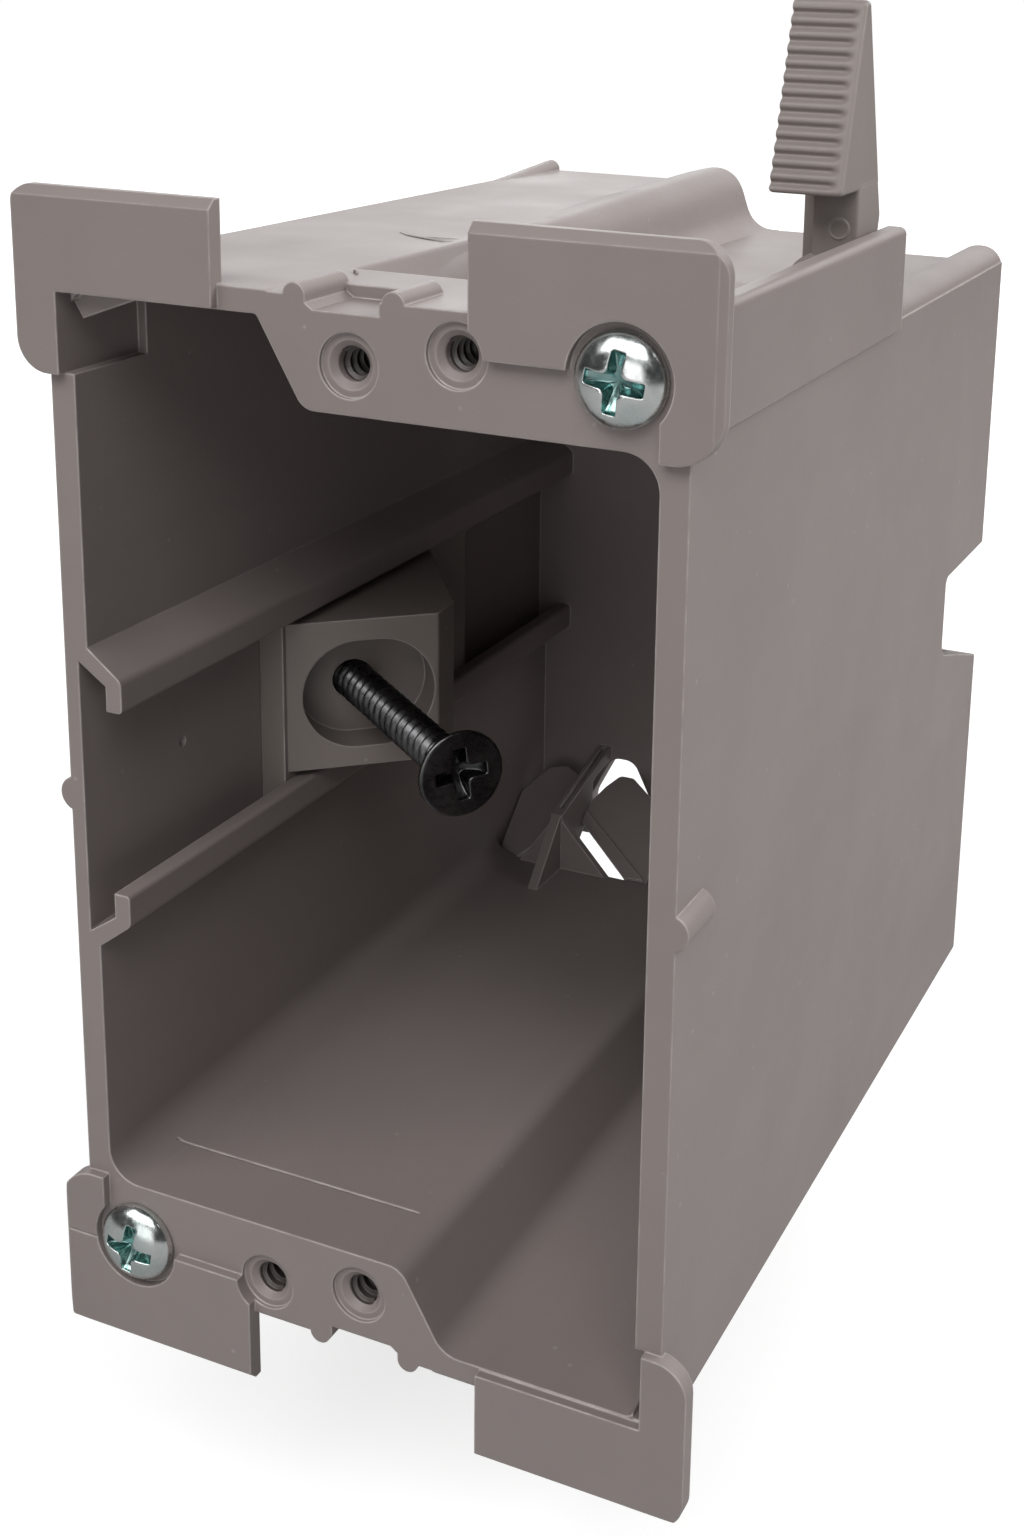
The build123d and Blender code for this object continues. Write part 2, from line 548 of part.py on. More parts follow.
def stud_bracket():
    """Plate that slides in the channel, with the wedge shaped block that carries the screw."""
    back = CHANNEL_WALL + RUN_GAP
    y0, y1 = BRACKET_Y
    plate = prism_y([(back, -PLATE_HALF_Z), (BRACKET_X, 0.3 - PLATE_HALF_Z),
                     (BRACKET_X, PLATE_HALF_Z - 0.3), (back, PLATE_HALF_Z)], y0, y1)
    wedge = prism_z([FACE_LEFT, FACE_RIGHT, BACK_RIGHT, BACK_LEFT, (BRACKET_X - 0.5, BACK_LEFT[1]),
                     (BRACKET_X - 0.5, FACE_LEFT[1])], -BLOCK_HALF_Z, BLOCK_HALF_Z, {1: 0.4, 2: 1.2})
    along = Vector(FACE_RIGHT[0] - FACE_LEFT[0], FACE_RIGHT[1] - FACE_LEFT[1], 0).normalized()
    face = Plane(origin=STUD_POINT, x_dir=along, z_dir=(along.Y, -along.X, 0))
    outline = face * SlotOverall(2 * SEAT_HALF_L, 2 * SEAT_HALF_Z)
    seat = extrude(outline, amount=2.0) + extrude(outline, amount=-SEAT_D)
    bore = extrude(stud_plane() * Circle(STUD_R + RUN_GAP), amount=20, both=True)
    return plate + wedge - seat - bore


def stud_screw():
    """Countersunk head, shank and point, in one turned solid."""
    tip = STUD_OUT - STUD_LEN
    outline = [(0, STUD_OUT), (STUD_HEAD_R, STUD_OUT), (STUD_HEAD_R, STUD_OUT - STUD_HEAD_RIM),
               (STUD_R, STUD_OUT - STUD_HEAD_H), (STUD_R, tip + STUD_TIP_L), (0, tip)]
    screw = revolve(Plane.XZ * make_face(Polyline(*outline, close=True)), Axis.Z)
    screw -= Pos(0, 0, STUD_OUT + 0.001) * Rot(0, 0, STUD_CROSS) * cross_recess(1.9, 2.3, 0.95)
    return stud_plane() * screw


def clamp_screw():
    """Pan head with a cross recess, plain shank for the thread."""
    r, h = CLAMP_HEAD_R, CLAMP_HEAD_H
    outline = [(0, h), (0.43 * r, 0.95 * h), (0.77 * r, 0.74 * h), (0.96 * r, 0.41 * h), (r, 0.3 * h),
               (r, 0), (CLAMP_R, 0), (CLAMP_R, 0.8 - CLAMP_LEN), (CLAMP_R - 0.6, -CLAMP_LEN),
               (0, -CLAMP_LEN)]
    screw = revolve(Plane.XZ * make_face(Polyline(*outline, close=True)), Axis.Z)
    screw -= Pos(0, 0, h) * Rot(0, 0, CLAMP_CROSS) * cross_recess(1.8, 2.35, 0.95)
    return Plane(origin=(CLAMP_X, 0, CLAMP_Z), x_dir=(1, 0, 0), z_dir=(0, -1, 0)) * screw


def clamp_arm():
    """Ribbed wedge on a neck and a hub that runs on the clamp screw."""
    left = CLAMP_X - ARM_IN
    right = CLAMP_X + ARM_OUT
    foot = CLAMP_Z + ARM_FOOT
    tip = CLAMP_Z + ARM_TIP
    knee = CLAMP_Z + 4.83
    arm = prism_x([(ARM_FRONT, foot), (ARM_TIP_Y[0], tip), (ARM_TIP_Y[1], tip),
                   (ARM_HEEL[0], CLAMP_Z + ARM_HEEL[1]), (HUB_Y[1], knee), (NECK_FRONT, knee),
                   (NECK_FRONT, foot - 0.8), (ARM_FRONT + 0.3, foot - 0.5)],
                  left, right, {1: 0.5, 2: 0.5, 3: 0.5})
    arm -= block(left - 1, CLAMP_X - NECK_IN, NECK_FRONT - 2, HUB_Y[1] - 1.6, CLAMP_Z - 3, foot - 1.0)
    arm += block(CLAMP_X - NECK_IN, right, NECK_FRONT, HUB_Y[1], CLAMP_Z, knee + 2)
    arm += rod_y(CLAMP_X, CLAMP_Z, HUB_R, HUB_Y[0], HUB_Y[1])
    slope = (ARM_TIP_Y[0] - ARM_FRONT) / (tip - foot)
    pitch = (tip - foot - 0.9) / RIBS
    length = ARM_IN + ARM_OUT - 2 * GROOVE_END
    middle = (left + right) / 2
    for i in range(RIBS):
        z = foot + pitch * (i + 0.72)
        y = ARM_FRONT + (z - foot) * slope
        groove = Rot(0, 90, 0) * Cylinder(GROOVE_R, length)
        groove += Pos(length / 2, 0, 0) * Sphere(GROOVE_R) + Pos(-length / 2, 0, 0) * Sphere(GROOVE_R)
        arm -= Pos(middle, y, z) * groove
    arm -= rod_y(CLAMP_X, CLAMP_Z, CLAMP_R + RUN_GAP, HUB_Y[0] - 5, HUB_Y[1] + 5)
    arm -= rod_y(CLAMP_X + DIMPLE[0], CLAMP_Z + DIMPLE[1], DIMPLE[2], NECK_FRONT - 1, NECK_FRONT + 0.6)
    return arm


os.makedirs("parts", exist_ok=True)
screw = clamp_screw()
arm = clamp_arm()
inner = flap(INNER_FLAP, INNER_RIM)
outer = flap(OUTER_FLAP, None)
nodes = {
    "box_shell": box_shell(),
    "stud_bracket": stud_bracket(),
    "stud_screw": stud_screw(),
    "upper_clamp_screw": screw,
    "lower_clamp_screw": half_turn(screw),
    "upper_clamp_arm": arm,
    "lower_clamp_arm": half_turn(arm),
    "lower_inner_flap": inner,
    "lower_outer_flap": outer,
    "upper_inner_flap": half_turn(inner),
    "upper_outer_flap": half_turn(outer),
}
for node, shape in nodes.items():
    print(node, "solids", len(shape.solids()), "volume", round(shape.volume, 1),
          "valid", shape.is_valid)
    export_step(shape, "parts/" + node + ".step")
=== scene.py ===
"""Drywall back box: looks of the shell, its screws, clamp arms, bracket and flaps.

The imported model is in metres: X across the box, Y into the wall, Z up. Sizes of pieces are given
here in millimetres and turned into metres when a piece is made.
"""

import json
import logging
import math
from collections.abc import Callable
from dataclasses import dataclass, field
from enum import Enum

import bpy
import bmesh
from mathutils import Euler, Matrix, Vector

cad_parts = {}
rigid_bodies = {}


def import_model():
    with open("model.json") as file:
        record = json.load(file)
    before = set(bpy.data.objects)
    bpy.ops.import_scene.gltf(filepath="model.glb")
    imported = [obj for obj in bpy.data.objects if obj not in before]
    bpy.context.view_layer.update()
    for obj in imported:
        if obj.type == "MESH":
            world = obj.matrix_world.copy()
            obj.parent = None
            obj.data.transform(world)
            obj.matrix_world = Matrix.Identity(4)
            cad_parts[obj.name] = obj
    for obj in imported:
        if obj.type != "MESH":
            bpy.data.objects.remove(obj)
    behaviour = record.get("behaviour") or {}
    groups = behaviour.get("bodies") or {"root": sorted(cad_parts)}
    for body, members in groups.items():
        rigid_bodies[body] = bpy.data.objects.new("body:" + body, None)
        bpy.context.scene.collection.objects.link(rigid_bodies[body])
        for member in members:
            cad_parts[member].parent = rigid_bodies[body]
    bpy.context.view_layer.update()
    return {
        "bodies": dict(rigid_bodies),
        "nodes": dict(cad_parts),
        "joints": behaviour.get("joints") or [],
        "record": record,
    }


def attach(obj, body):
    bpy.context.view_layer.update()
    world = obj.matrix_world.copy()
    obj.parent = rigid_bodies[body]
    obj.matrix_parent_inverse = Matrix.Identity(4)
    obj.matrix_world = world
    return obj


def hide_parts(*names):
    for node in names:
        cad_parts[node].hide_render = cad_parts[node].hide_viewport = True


LOG = logging.getLogger("back_box")
MM = 0.001
WELD = 1e-5
HALF_TURN = Matrix.Rotation(math.pi, 4, "Y")
Mesh = bmesh.types.BMesh
Object = bpy.types.Object
Material = bpy.types.Material
NodeTree = bpy.types.NodeTree
Socket = bpy.types.NodeSocket
Colour = tuple[float, float, float, float]
Flat = tuple[float, float]
Point = tuple[float, float, float]
WHITE: Colour = (1.0, 1.0, 1.0, 1.0)
QUARTER = (22.5, 45.0, 67.5, 90.0)
CLAMP_AXIS: Flat = (23.3, 43.17)
SKIN_OUTPUTS = {"Colour": "Color", "Roughness": "Float", "Height": "Float"}

# Noises of the shader groups: scales in waves over a metre, spans of their values, and the
# stretch that turns a noise into streaks along the direction of the mould's flow.
CLOUD_SCALE, FLOW_SCALE, PATCH_SCALE, SHEEN_SCALE, DUST_SCALE = 38.0, 260.0, 420.0, 95.0, 130.0
MIDDLE: Flat = (0.3, 0.7)
PATCH_SPAN: Flat = (0.35, 0.65)
TINT_SPAN: Flat = (0.38, 0.66)
DUSTY_SPAN: Flat = (0.56, 0.6)
SPECK_EDGE: Flat = (0.05, 0.11)
FLOW_STRETCH = Vector((1.0, 0.12, 1.0))
FLOW_RELIEF = 0.35


class End(Enum):
    """End of the box that a piece belongs to; one end is the other after half a turn about Y."""

    UPPER = "upper"
    LOWER = "lower"

    @property
    def matrix(self) -> Matrix:
        """Matrix that brings a piece of the upper end to this end."""
        return Matrix.Identity(4) if self is End.UPPER else HALF_TURN


def linear(red: float, green: float, blue: float) -> Colour:
    """Turn a display colour from 0 to 255 into linear light by the sRGB curve, as shaders take it.

    Args:
        red: Red as displayed.
        green: Green as displayed.
        blue: Blue as displayed.

    Returns:
        The linear colour with an alpha of 1.
    """
    def channel(value: float) -> float:
        """Return one channel in linear light."""
        share = value / 255.0
        return share / 12.92 if share <= 0.04045 else ((share + 0.055) / 1.055) ** 2.4

    return (channel(red), channel(green), channel(blue), 1.0)


# Shader groups


def add_node(tree: NodeTree, kind: str, **values: object) -> bpy.types.Node:
    """Add a node to a tree.

    Args:
        tree: The tree.
        kind: Identifier of the node type.
        values: Socket names, with underscores for blanks, and their values.

    Returns:
        The new node.
    """
    made = tree.nodes.new(kind)
    for label, value in values.items():
        made.inputs[label.replace("_", " ")].default_value = value
    return made


class ShaderGroup:
    """A shader node group under construction, with helpers for its most common nodes."""

    def __init__(self, name: str, inputs: dict[str, object], outputs: dict[str, str]) -> None:
        """Make the group with its sockets.

        Args:
            name: Name of the group.
            inputs: Socket name to default value; a tuple makes a colour socket.
            outputs: Socket name to the short name of its type, Color, Float or Vector.
        """
        self.tree = bpy.data.node_groups.new(name, "ShaderNodeTree")
        for label, value in inputs.items():
            kind = "NodeSocketColor" if isinstance(value, tuple) else "NodeSocketFloat"
            socket = self.tree.interface.new_socket(label, in_out="INPUT", socket_type=kind)
            socket.default_value = value
        for label, kind in outputs.items():
            self.tree.interface.new_socket(label, in_out="OUTPUT", socket_type="NodeSocket" + kind)
        self.enter = self.node("NodeGroupInput")
        self.leave = self.node("NodeGroupOutput")

    def node(self, kind: str, **values: object) -> bpy.types.Node:
        """Add a node to the group, as add_node does."""
        return add_node(self.tree, kind, **values)

    def link(self, source: Socket, target: Socket) -> None:
        """Join two sockets."""
        self.tree.links.new(source, target)

    def noise(self, scale: float | str, detail: float, stretch: Vector | None = None) -> Socket:
        """Add a noise over the object's own space.

        Args:
            scale: Its scale, or the name of the group input that gives it.
            detail: Number of octaves.
            stretch: Factors for the three axes, for streaks.

        Returns:
            The socket with its value.
        """
        place = self.node("ShaderNodeTexCoord").outputs["Object"]
        if stretch is not None:
            scaled = self.node("ShaderNodeVectorMath")
            scaled.operation = "MULTIPLY"
            scaled.inputs[1].default_value = stretch
            self.link(place, scaled.inputs[0])
            place = scaled.outputs["Vector"]
        noise = self.node("ShaderNodeTexNoise", Detail=detail)
        if isinstance(scale, str):
            self.link(self.enter.outputs[scale], noise.inputs["Scale"])
        else:
            noise.inputs["Scale"].default_value = scale
        self.link(place, noise.inputs["Vector"])
        return noise.outputs["Fac"]

    def ramp(self, source: Socket, span: Flat, target: Flat) -> Socket:
        """Map a span of a value onto another span, clamped.

        Args:
            source: The value.
            span: Ends of the span that counts.
            target: What these ends become.

        Returns:
            The socket with the mapped value.
        """
        node = self.node("ShaderNodeMapRange", From_Min=span[0], From_Max=span[1],
                         To_Min=target[0], To_Max=target[1])
        self.link(source, node.inputs["Value"])
        return node.outputs["Result"]

    def math(self, operation: str, *sources: Socket | float) -> Socket:
        """Add a math node.

        Args:
            operation: What it does.
            sources: Its inputs, sockets or plain numbers.

        Returns:
            The socket with the result.
        """
        node = self.node("ShaderNodeMath")
        node.operation = operation
        for i, source in enumerate(sources):
            if isinstance(source, (int, float)):
                node.inputs[i].default_value = source
            else:
                self.link(source, node.inputs[i])
        return node.outputs[0]

    def blend(self, factor: Socket, first: Socket, second: Socket) -> Socket:
        """Mix two colours.

        Args:
            factor: Share of the second colour.
            first: The first colour.
            second: The second colour.

        Returns:
            The socket with the mixed colour.
        """
        node = self.node("ShaderNodeMix")
        node.data_type = "RGBA"
        self.link(factor, node.inputs["Factor"])
        self.link(first, node.inputs["A"])
        self.link(second, node.inputs["B"])
        return node.outputs["Result"]


def soft_edge_group() -> NodeTree:
    """Build the group that rounds sharp edges.

    Returns:
        The node tree, with the rounded Normal and a Mask that is 1 on an edge.
    """
    group = ShaderGroup("soft_edges", {"Radius": 0.0003, "Gain": 3.0},
                        {"Normal": "Vector", "Mask": "Float"})
    soft = group.node("ShaderNodeBevel")
    soft.samples = 8
    group.link(group.enter.outputs["Radius"], soft.inputs["Radius"])
    group.link(soft.outputs["Normal"], group.leave.inputs["Normal"])
    plain = group.node("ShaderNodeNewGeometry")
    agree = group.node("ShaderNodeVectorMath")
    agree.operation = "DOT_PRODUCT"
    group.link(soft.outputs["Normal"], agree.inputs[0])
    group.link(plain.outputs["Normal"], agree.inputs[1])
    turned = group.math("SUBTRACT", 1.0, agree.outputs["Value"])
    mask = group.math("MULTIPLY", turned, group.enter.outputs["Gain"])
    group.link(group.math("MINIMUM", mask, 1.0), group.leave.inputs["Mask"])
    return group.tree


def moulded_skin_group() -> NodeTree:
    """Build the group for moulded plastic: mottling, flow streaks, fine grain, painted edge
    highlights and wear.

    Returns:
        The node tree, with outputs Colour, Roughness and Height.
    """
    group = ShaderGroup(
        "moulded_skin",
        {"Colour": (0.2, 0.2, 0.2, 1), "Rubbed": (0.3, 0.3, 0.3, 1), "Edge": 0.0, "Roughness": 0.5,
         "Mottle": 0.06, "Grain Size": 2200.0, "Edge Wear": 0.35},
        SKIN_OUTPUTS)
    inlet = group.enter.outputs
    broad = group.ramp(group.noise(CLOUD_SCALE, 3.0), MIDDLE, (-1.0, 1.0))
    streaks = group.ramp(group.noise(FLOW_SCALE, 3.0, FLOW_STRETCH), MIDDLE, (-0.45, 0.45))
    amount = group.math("MULTIPLY_ADD", group.math("ADD", broad, streaks), inlet["Mottle"], 1.0)
    shade = group.node("ShaderNodeVectorMath")
    shade.operation = "SCALE"
    group.link(inlet["Colour"], shade.inputs[0])
    group.link(amount, shade.inputs["Scale"])
    # Edges take the lighter colour: painted highlights along rounded edges, broken up by patchy
    # wear.
    patchy = group.ramp(group.noise(PATCH_SCALE, 4.0), PATCH_SPAN, (0.45, 1.0))
    lit_and_worn = group.math("MULTIPLY", group.math("MULTIPLY", inlet["Edge"], inlet["Edge Wear"]), patchy)
    colour = group.blend(lit_and_worn, shade.outputs[0], inlet["Rubbed"])
    group.link(colour, group.leave.inputs["Colour"])
    gloss = group.ramp(group.noise(SHEEN_SCALE, 4.0), MIDDLE, (-0.05, 0.05))
    group.link(group.math("ADD", gloss, inlet["Roughness"]), group.leave.inputs["Roughness"])
    grain = group.math("ADD", group.noise("Grain Size", 2.0),
                       group.math("MULTIPLY", streaks, FLOW_RELIEF))
    group.link(grain, group.leave.inputs["Height"])
    return group.tree


def specks_group() -> NodeTree:
    """Build the group for sparse dust specks on the plastic.

    Returns:
        The node tree, with the output Colour.
    """
    group = ShaderGroup("dust_specks", {"Colour": (0.2, 0.2, 0.2, 1), "Dust": (0.5, 0.48, 0.46, 1),
                                        "Spacing": 420.0, "Amount": 0.25}, {"Colour": "Color"})
    place = group.node("ShaderNodeTexCoord")
    cells = group.node("ShaderNodeTexVoronoi")
    group.link(place.outputs["Object"], cells.inputs["Vector"])
    group.link(group.enter.outputs["Spacing"], cells.inputs["Scale"])
    dot = group.ramp(cells.outputs["Distance"], SPECK_EDGE, (1.0, 0.0))
    rare = group.ramp(group.noise(DUST_SCALE, 2.0), DUSTY_SPAN, (0.0, 1.0))
    inlet = group.enter.outputs
    factor = group.math("MULTIPLY", group.math("MULTIPLY", dot, rare), inlet["Amount"])
    mixed = group.blend(factor, inlet["Colour"], inlet["Dust"])
    group.link(mixed, group.leave.inputs["Colour"])
    return group.tree


def plated_skin_group() -> NodeTree:
    """Build the group for plated steel: tinted clouds, fine scratches, painted edge highlights and
    wear.

    Returns:
        The node tree, with outputs Colour, Roughness and Height.
    """
    group = ShaderGroup(
        "plated_skin",
        {"Colour": (0.7, 0.7, 0.7, 1), "Tint": (0.6, 0.75, 0.7, 1), "Rubbed": (0.9, 0.9, 0.9, 1),
         "Edge": 0.0, "Roughness": 0.25, "Cloud Size": 300.0, "Scratch Size": 1500.0,
         "Edge Wear": 0.3},
        SKIN_OUTPUTS)
    inlet = group.enter.outputs
    cloud = group.ramp(group.noise("Cloud Size", 3.0), TINT_SPAN, (0.0, 1.0))
    base = group.blend(cloud, inlet["Colour"], inlet["Tint"])
    # Edges take the lighter colour evenly: painted highlights along rounded edges, with wear.
    lit_and_worn = group.math("MULTIPLY", inlet["Edge"], inlet["Edge Wear"])
    group.link(group.blend(lit_and_worn, base, inlet["Rubbed"]), group.leave.inputs["Colour"])
    scratch = group.noise("Scratch Size", 5.0)
    rise = group.ramp(scratch, MIDDLE, (-0.05, 0.1))
    group.link(group.math("ADD", rise, inlet["Roughness"]), group.leave.inputs["Roughness"])
    group.link(scratch, group.leave.inputs["Height"])
    return group.tree


@dataclass
class GroupShelf:
    """The shader groups, each built once."""

    edges: NodeTree = field(default_factory=soft_edge_group)
    moulded: NodeTree = field(default_factory=moulded_skin_group)
    specks: NodeTree = field(default_factory=specks_group)
    plated: NodeTree = field(default_factory=plated_skin_group)


class MaterialMaker:
    """A material under construction, around its Principled shader."""

    def __init__(self, name: str) -> None:
        """Make a plain material with its shader.

        Args:
            name: Name of the material.
        """
        self.material = bpy.data.materials.new(name)
        self.material.use_nodes = True
        self.nodes = self.material.node_tree.nodes
        self.shader = self.nodes["Principled BSDF"]

    def place(self, group: NodeTree, **values: object) -> bpy.types.Node:
        """Place a shader group.

        Args:
            group: The group.
            values: Its inputs, with underscores for blanks; a socket is linked, a value is set.

        Returns:
            The group's node.
        """
        node = self.nodes.new("ShaderNodeGroup")
        node.node_tree = group
        for label, value in values.items():
            socket = node.inputs[label.replace("_", " ")]
            if isinstance(value, Socket):
                self.material.node_tree.links.new(value, socket)
            else:
                socket.default_value = value
        return node

    def wire(self, source: Socket, label: str) -> None:
        """Link a socket to an input of the shader."""
        self.material.node_tree.links.new(source, self.shader.inputs[label])

    def relief(self, height: Socket, normal: Socket, strength: float,
               distance: float) -> None:
        """Feed the shader's normal from a height over a rounded normal.

        Args:
            height: Height of the surface.
            normal: Normal with its edges rounded.
            strength: Strength of the relief.
            distance: Depth of the relief in metres.
        """
        bump = self.nodes.new("ShaderNodeBump")
        bump.inputs["Strength"].default_value = strength
        bump.inputs["Distance"].default_value = distance
        self.material.node_tree.links.new(normal, bump.inputs["Normal"])
        self.material.node_tree.links.new(height, bump.inputs["Height"])
        self.wire(bump.outputs["Normal"], "Normal")


@dataclass(frozen=True)
class MouldedPlastic:
    """Satin plastic as it comes from the mould."""

    name: str
    colour: Colour
    # Lighter colour that the edge mask mixes onto edges: painted highlights on rounded edges, with
    # patchy wear.
    wear_highlight_colour: Colour
    roughness: float = 0.47
    specular: float = 0.5
    mottle: float = 0.035
    grain_size: float = 2600.0
    grain_depth: float = 0.07
    grain_relief: float = 0.0002
    # Share of that edge colour: painted highlight and wear.
    wear_highlight_share: float = 0.9
    edge_round: float = 0.0003
    edge_gain: float = 5.0
    dust: float = 0.3
    ior: float = 1.5

    def material(self, shelf: GroupShelf) -> Material:
        """Make the material.

        Args:
            shelf: The shader groups.

        Returns:
            The finished material.
        """
        maker = MaterialMaker(self.name)
        edges = maker.place(shelf.edges, Radius=self.edge_round, Gain=self.edge_gain)
        skin = maker.place(shelf.moulded, Colour=self.colour, Rubbed=self.wear_highlight_colour,
                           Edge=edges.outputs["Mask"], Roughness=self.roughness, Mottle=self.mottle,
                           Grain_Size=self.grain_size, Edge_Wear=self.wear_highlight_share)
        dusty = maker.place(shelf.specks, Colour=skin.outputs["Colour"], Amount=self.dust)
        maker.wire(dusty.outputs["Colour"], "Base Color")
        maker.wire(skin.outputs["Roughness"], "Roughness")
        maker.relief(skin.outputs["Height"], edges.outputs["Normal"], self.grain_depth,
                     self.grain_relief)
        maker.shader.inputs["IOR"].default_value = self.ior
        maker.shader.inputs["Specular IOR Level"].default_value = self.specular
        return maker.material


@dataclass(frozen=True)
class PlatedSteel:
    """Steel screw with a thin plated or blackened skin."""

    name: str
    colour: Colour
    tint: Colour
    # Lighter colour that the edge mask mixes onto edges: painted highlights on rounded edges, with
    # wear.
    wear_highlight_colour: Colour
    metallic: float = 1.0
    roughness: float = 0.2
    cloud_size: float = 320.0
    scratch_size: float = 1800.0
    scratch_depth: float = 0.05
    scratch_relief: float = 0.0001
    # Share of that edge colour: painted highlight and wear.
    wear_highlight_share: float = 0.4
    edge_round: float = 0.00012
    edge_gain: float = 3.0

    def material(self, shelf: GroupShelf) -> Material:
        """Make the material.

        Args:
            shelf: The shader groups.

        Returns:
            The finished material.
        """
        maker = MaterialMaker(self.name)
        edges = maker.place(shelf.edges, Radius=self.edge_round, Gain=self.edge_gain)
        skin = maker.place(shelf.plated, Colour=self.colour, Tint=self.tint, Rubbed=self.wear_highlight_colour,
                           Edge=edges.outputs["Mask"], Roughness=self.roughness,
                           Cloud_Size=self.cloud_size, Scratch_Size=self.scratch_size,
                           Edge_Wear=self.wear_highlight_share)
        maker.wire(skin.outputs["Colour"], "Base Color")
        maker.wire(skin.outputs["Roughness"], "Roughness")
        maker.relief(skin.outputs["Height"], edges.outputs["Normal"], self.scratch_depth,
                     self.scratch_relief)
        maker.shader.inputs["Metallic"].default_value = self.metallic
        return maker.material


# Edge colours of the finishes: painted highlights along rounded edges, together with wear.
WEAR_HIGHLIGHT = linear(206, 198, 194)
BRIGHT_WEAR_HIGHLIGHT = linear(250, 252, 250)


class Look(Enum):
    """Finishes of the object."""

    SHELL = MouldedPlastic("taupe_shell", linear(140, 130, 127), WEAR_HIGHLIGHT)
    BRACKET = MouldedPlastic("taupe_bracket", linear(136, 127, 122), WEAR_HIGHLIGHT, roughness=0.42)
    ARM = MouldedPlastic("taupe_arm", linear(142, 133, 129), WEAR_HIGHLIGHT, roughness=0.42,
                         edge_round=0.0002)
    # Darker copy of the shell plastic for the hole threads: painted shade inside the holes; its
    # light edge colour paints highlights on the crests.
    HOLE = MouldedPlastic("taupe_hole_thread_painted_shade", linear(78, 71, 68), linear(168, 159, 155),
                          roughness=0.36, wear_highlight_share=1.0, edge_round=0.0001, dust=0.0)
    ZINC = PlatedSteel("zinc_plate", linear(226, 227, 226), linear(204, 214, 212), BRIGHT_WEAR_HIGHLIGHT)
    # Darker, teal copy of the zinc plate for the recess walls: painted shade in the recess; its
    # bright edge colour paints highlights on the recess edges.
    ZINC_RECESS = PlatedSteel("zinc_recess", linear(118, 158, 156), linear(176, 202, 198), BRIGHT_WEAR_HIGHLIGHT,
                              roughness=0.15, wear_highlight_share=0.9)
    BLACK = PlatedSteel("black_oxide", linear(98, 98, 99), linear(66, 66, 67),
                        linear(212, 210, 206), roughness=0.27, wear_highlight_share=0.9)


Finishes = dict[Look, Material]
SLOT_LOOKS = {"shell_plastic": Look.SHELL, "bracket_plastic": Look.BRACKET,
              "arm_plastic": Look.ARM, "zinc_screw": Look.ZINC, "black_screw": Look.BLACK}


def make_finishes() -> Finishes:
    """Make the material of every finish, with the shader groups built once."""
    shelf = GroupShelf()
    return {look: look.value.material(shelf) for look in Look}


# Mesh helpers


def arc(*degrees: float) -> list[Flat]:
    """Return the cosine and the sine of each angle."""
    return [(math.cos(math.radians(a)), math.sin(math.radians(a))) for a in degrees]


def object_from(name: str, mesh: Mesh, materials: list[Material],
                smooth_angle: float = 35.0) -> Object:
    """Turn a bmesh into an object.

    Args:
        name: Name of the object.
        mesh: The shape; it is freed.
        materials: Its finishes, in the order of the faces' material indices.
        smooth_angle: Edges that turn less than this, in degrees, are shaded smooth.

    Returns:
        The new object, linked to the scene.
    """
    data = bpy.data.meshes.new(name)
    mesh.to_mesh(data)
    mesh.free()
    for material in materials:
        data.materials.append(material)
    data.shade_smooth()
    data.set_sharp_from_angle(angle=math.radians(smooth_angle))
    piece = bpy.data.objects.new(name, data)
    bpy.context.scene.collection.objects.link(piece)
    return piece


def skin(mesh: Mesh, loops: list[list[Vector]], closed: bool = True,
         material: int = 0) -> list[list[bmesh.types.BMVert]]:
    """Join successive rows of points with quads.

    Args:
        mesh: The shape to add to.
        loops: Rows with the same number of points.
        closed: Whether each row closes on itself.
        material: Material index of the new faces.

    Returns:
        The rows of vertices.
    """
    rows = [[mesh.verts.new(point) for point in loop] for loop in loops]
    for low, high in zip(rows, rows[1:]):
        count = len(low)
        for i in range(count if closed else count - 1):
            j = (i + 1) % count
            mesh.faces.new((low[i], low[j], high[j], high[i])).material_index = material
    return rows


def ring(radius: float, height: float, steps: int) -> list[Vector]:
    """Return the points of a circle round the z axis, beginning on the x axis."""
    turns = [math.tau * i / steps for i in range(steps)]
    return [Vector((radius * math.cos(a), radius * math.sin(a), height)) for a in turns]


def finish_mesh(mesh: Mesh, matrix: Matrix) -> None:
    """Weld a shape, turn its faces outwards and bring it from millimetres into place in metres.

    Args:
        mesh: The shape.
        matrix: Its place in the model, in millimetres.
    """
    bmesh.ops.remove_doubles(mesh, verts=mesh.verts, dist=WELD)
    bmesh.ops.recalc_face_normals(mesh, faces=mesh.faces)
    bmesh.ops.transform(mesh, matrix=Matrix.Scale(MM, 4) @ matrix, verts=mesh.verts)


def axes(origin: Vector, x_axis: Vector, z_axis: Vector) -> Matrix:
    """Return the matrix of a local frame.

    Args:
        origin: Its origin.
        x_axis: Its x axis.
        z_axis: Its z axis.

    Returns:
        The matrix from the local frame to the model.
    """
    x, z = x_axis.normalized(), z_axis.normalized()
    y = z.cross(x)
    return Matrix(((x.x, y.x, z.x, origin.x), (x.y, y.y, z.y, origin.y), (x.z, y.z, z.z, origin.z),
                   (0, 0, 0, 1)))


def facing_room(x: float, y: float, z: float) -> Matrix:
    """Return the matrix of a local frame at a point, its z axis towards the room."""
    return axes(Vector((x, y, z)), Vector((1, 0, 0)), Vector((0, -1, 0)))


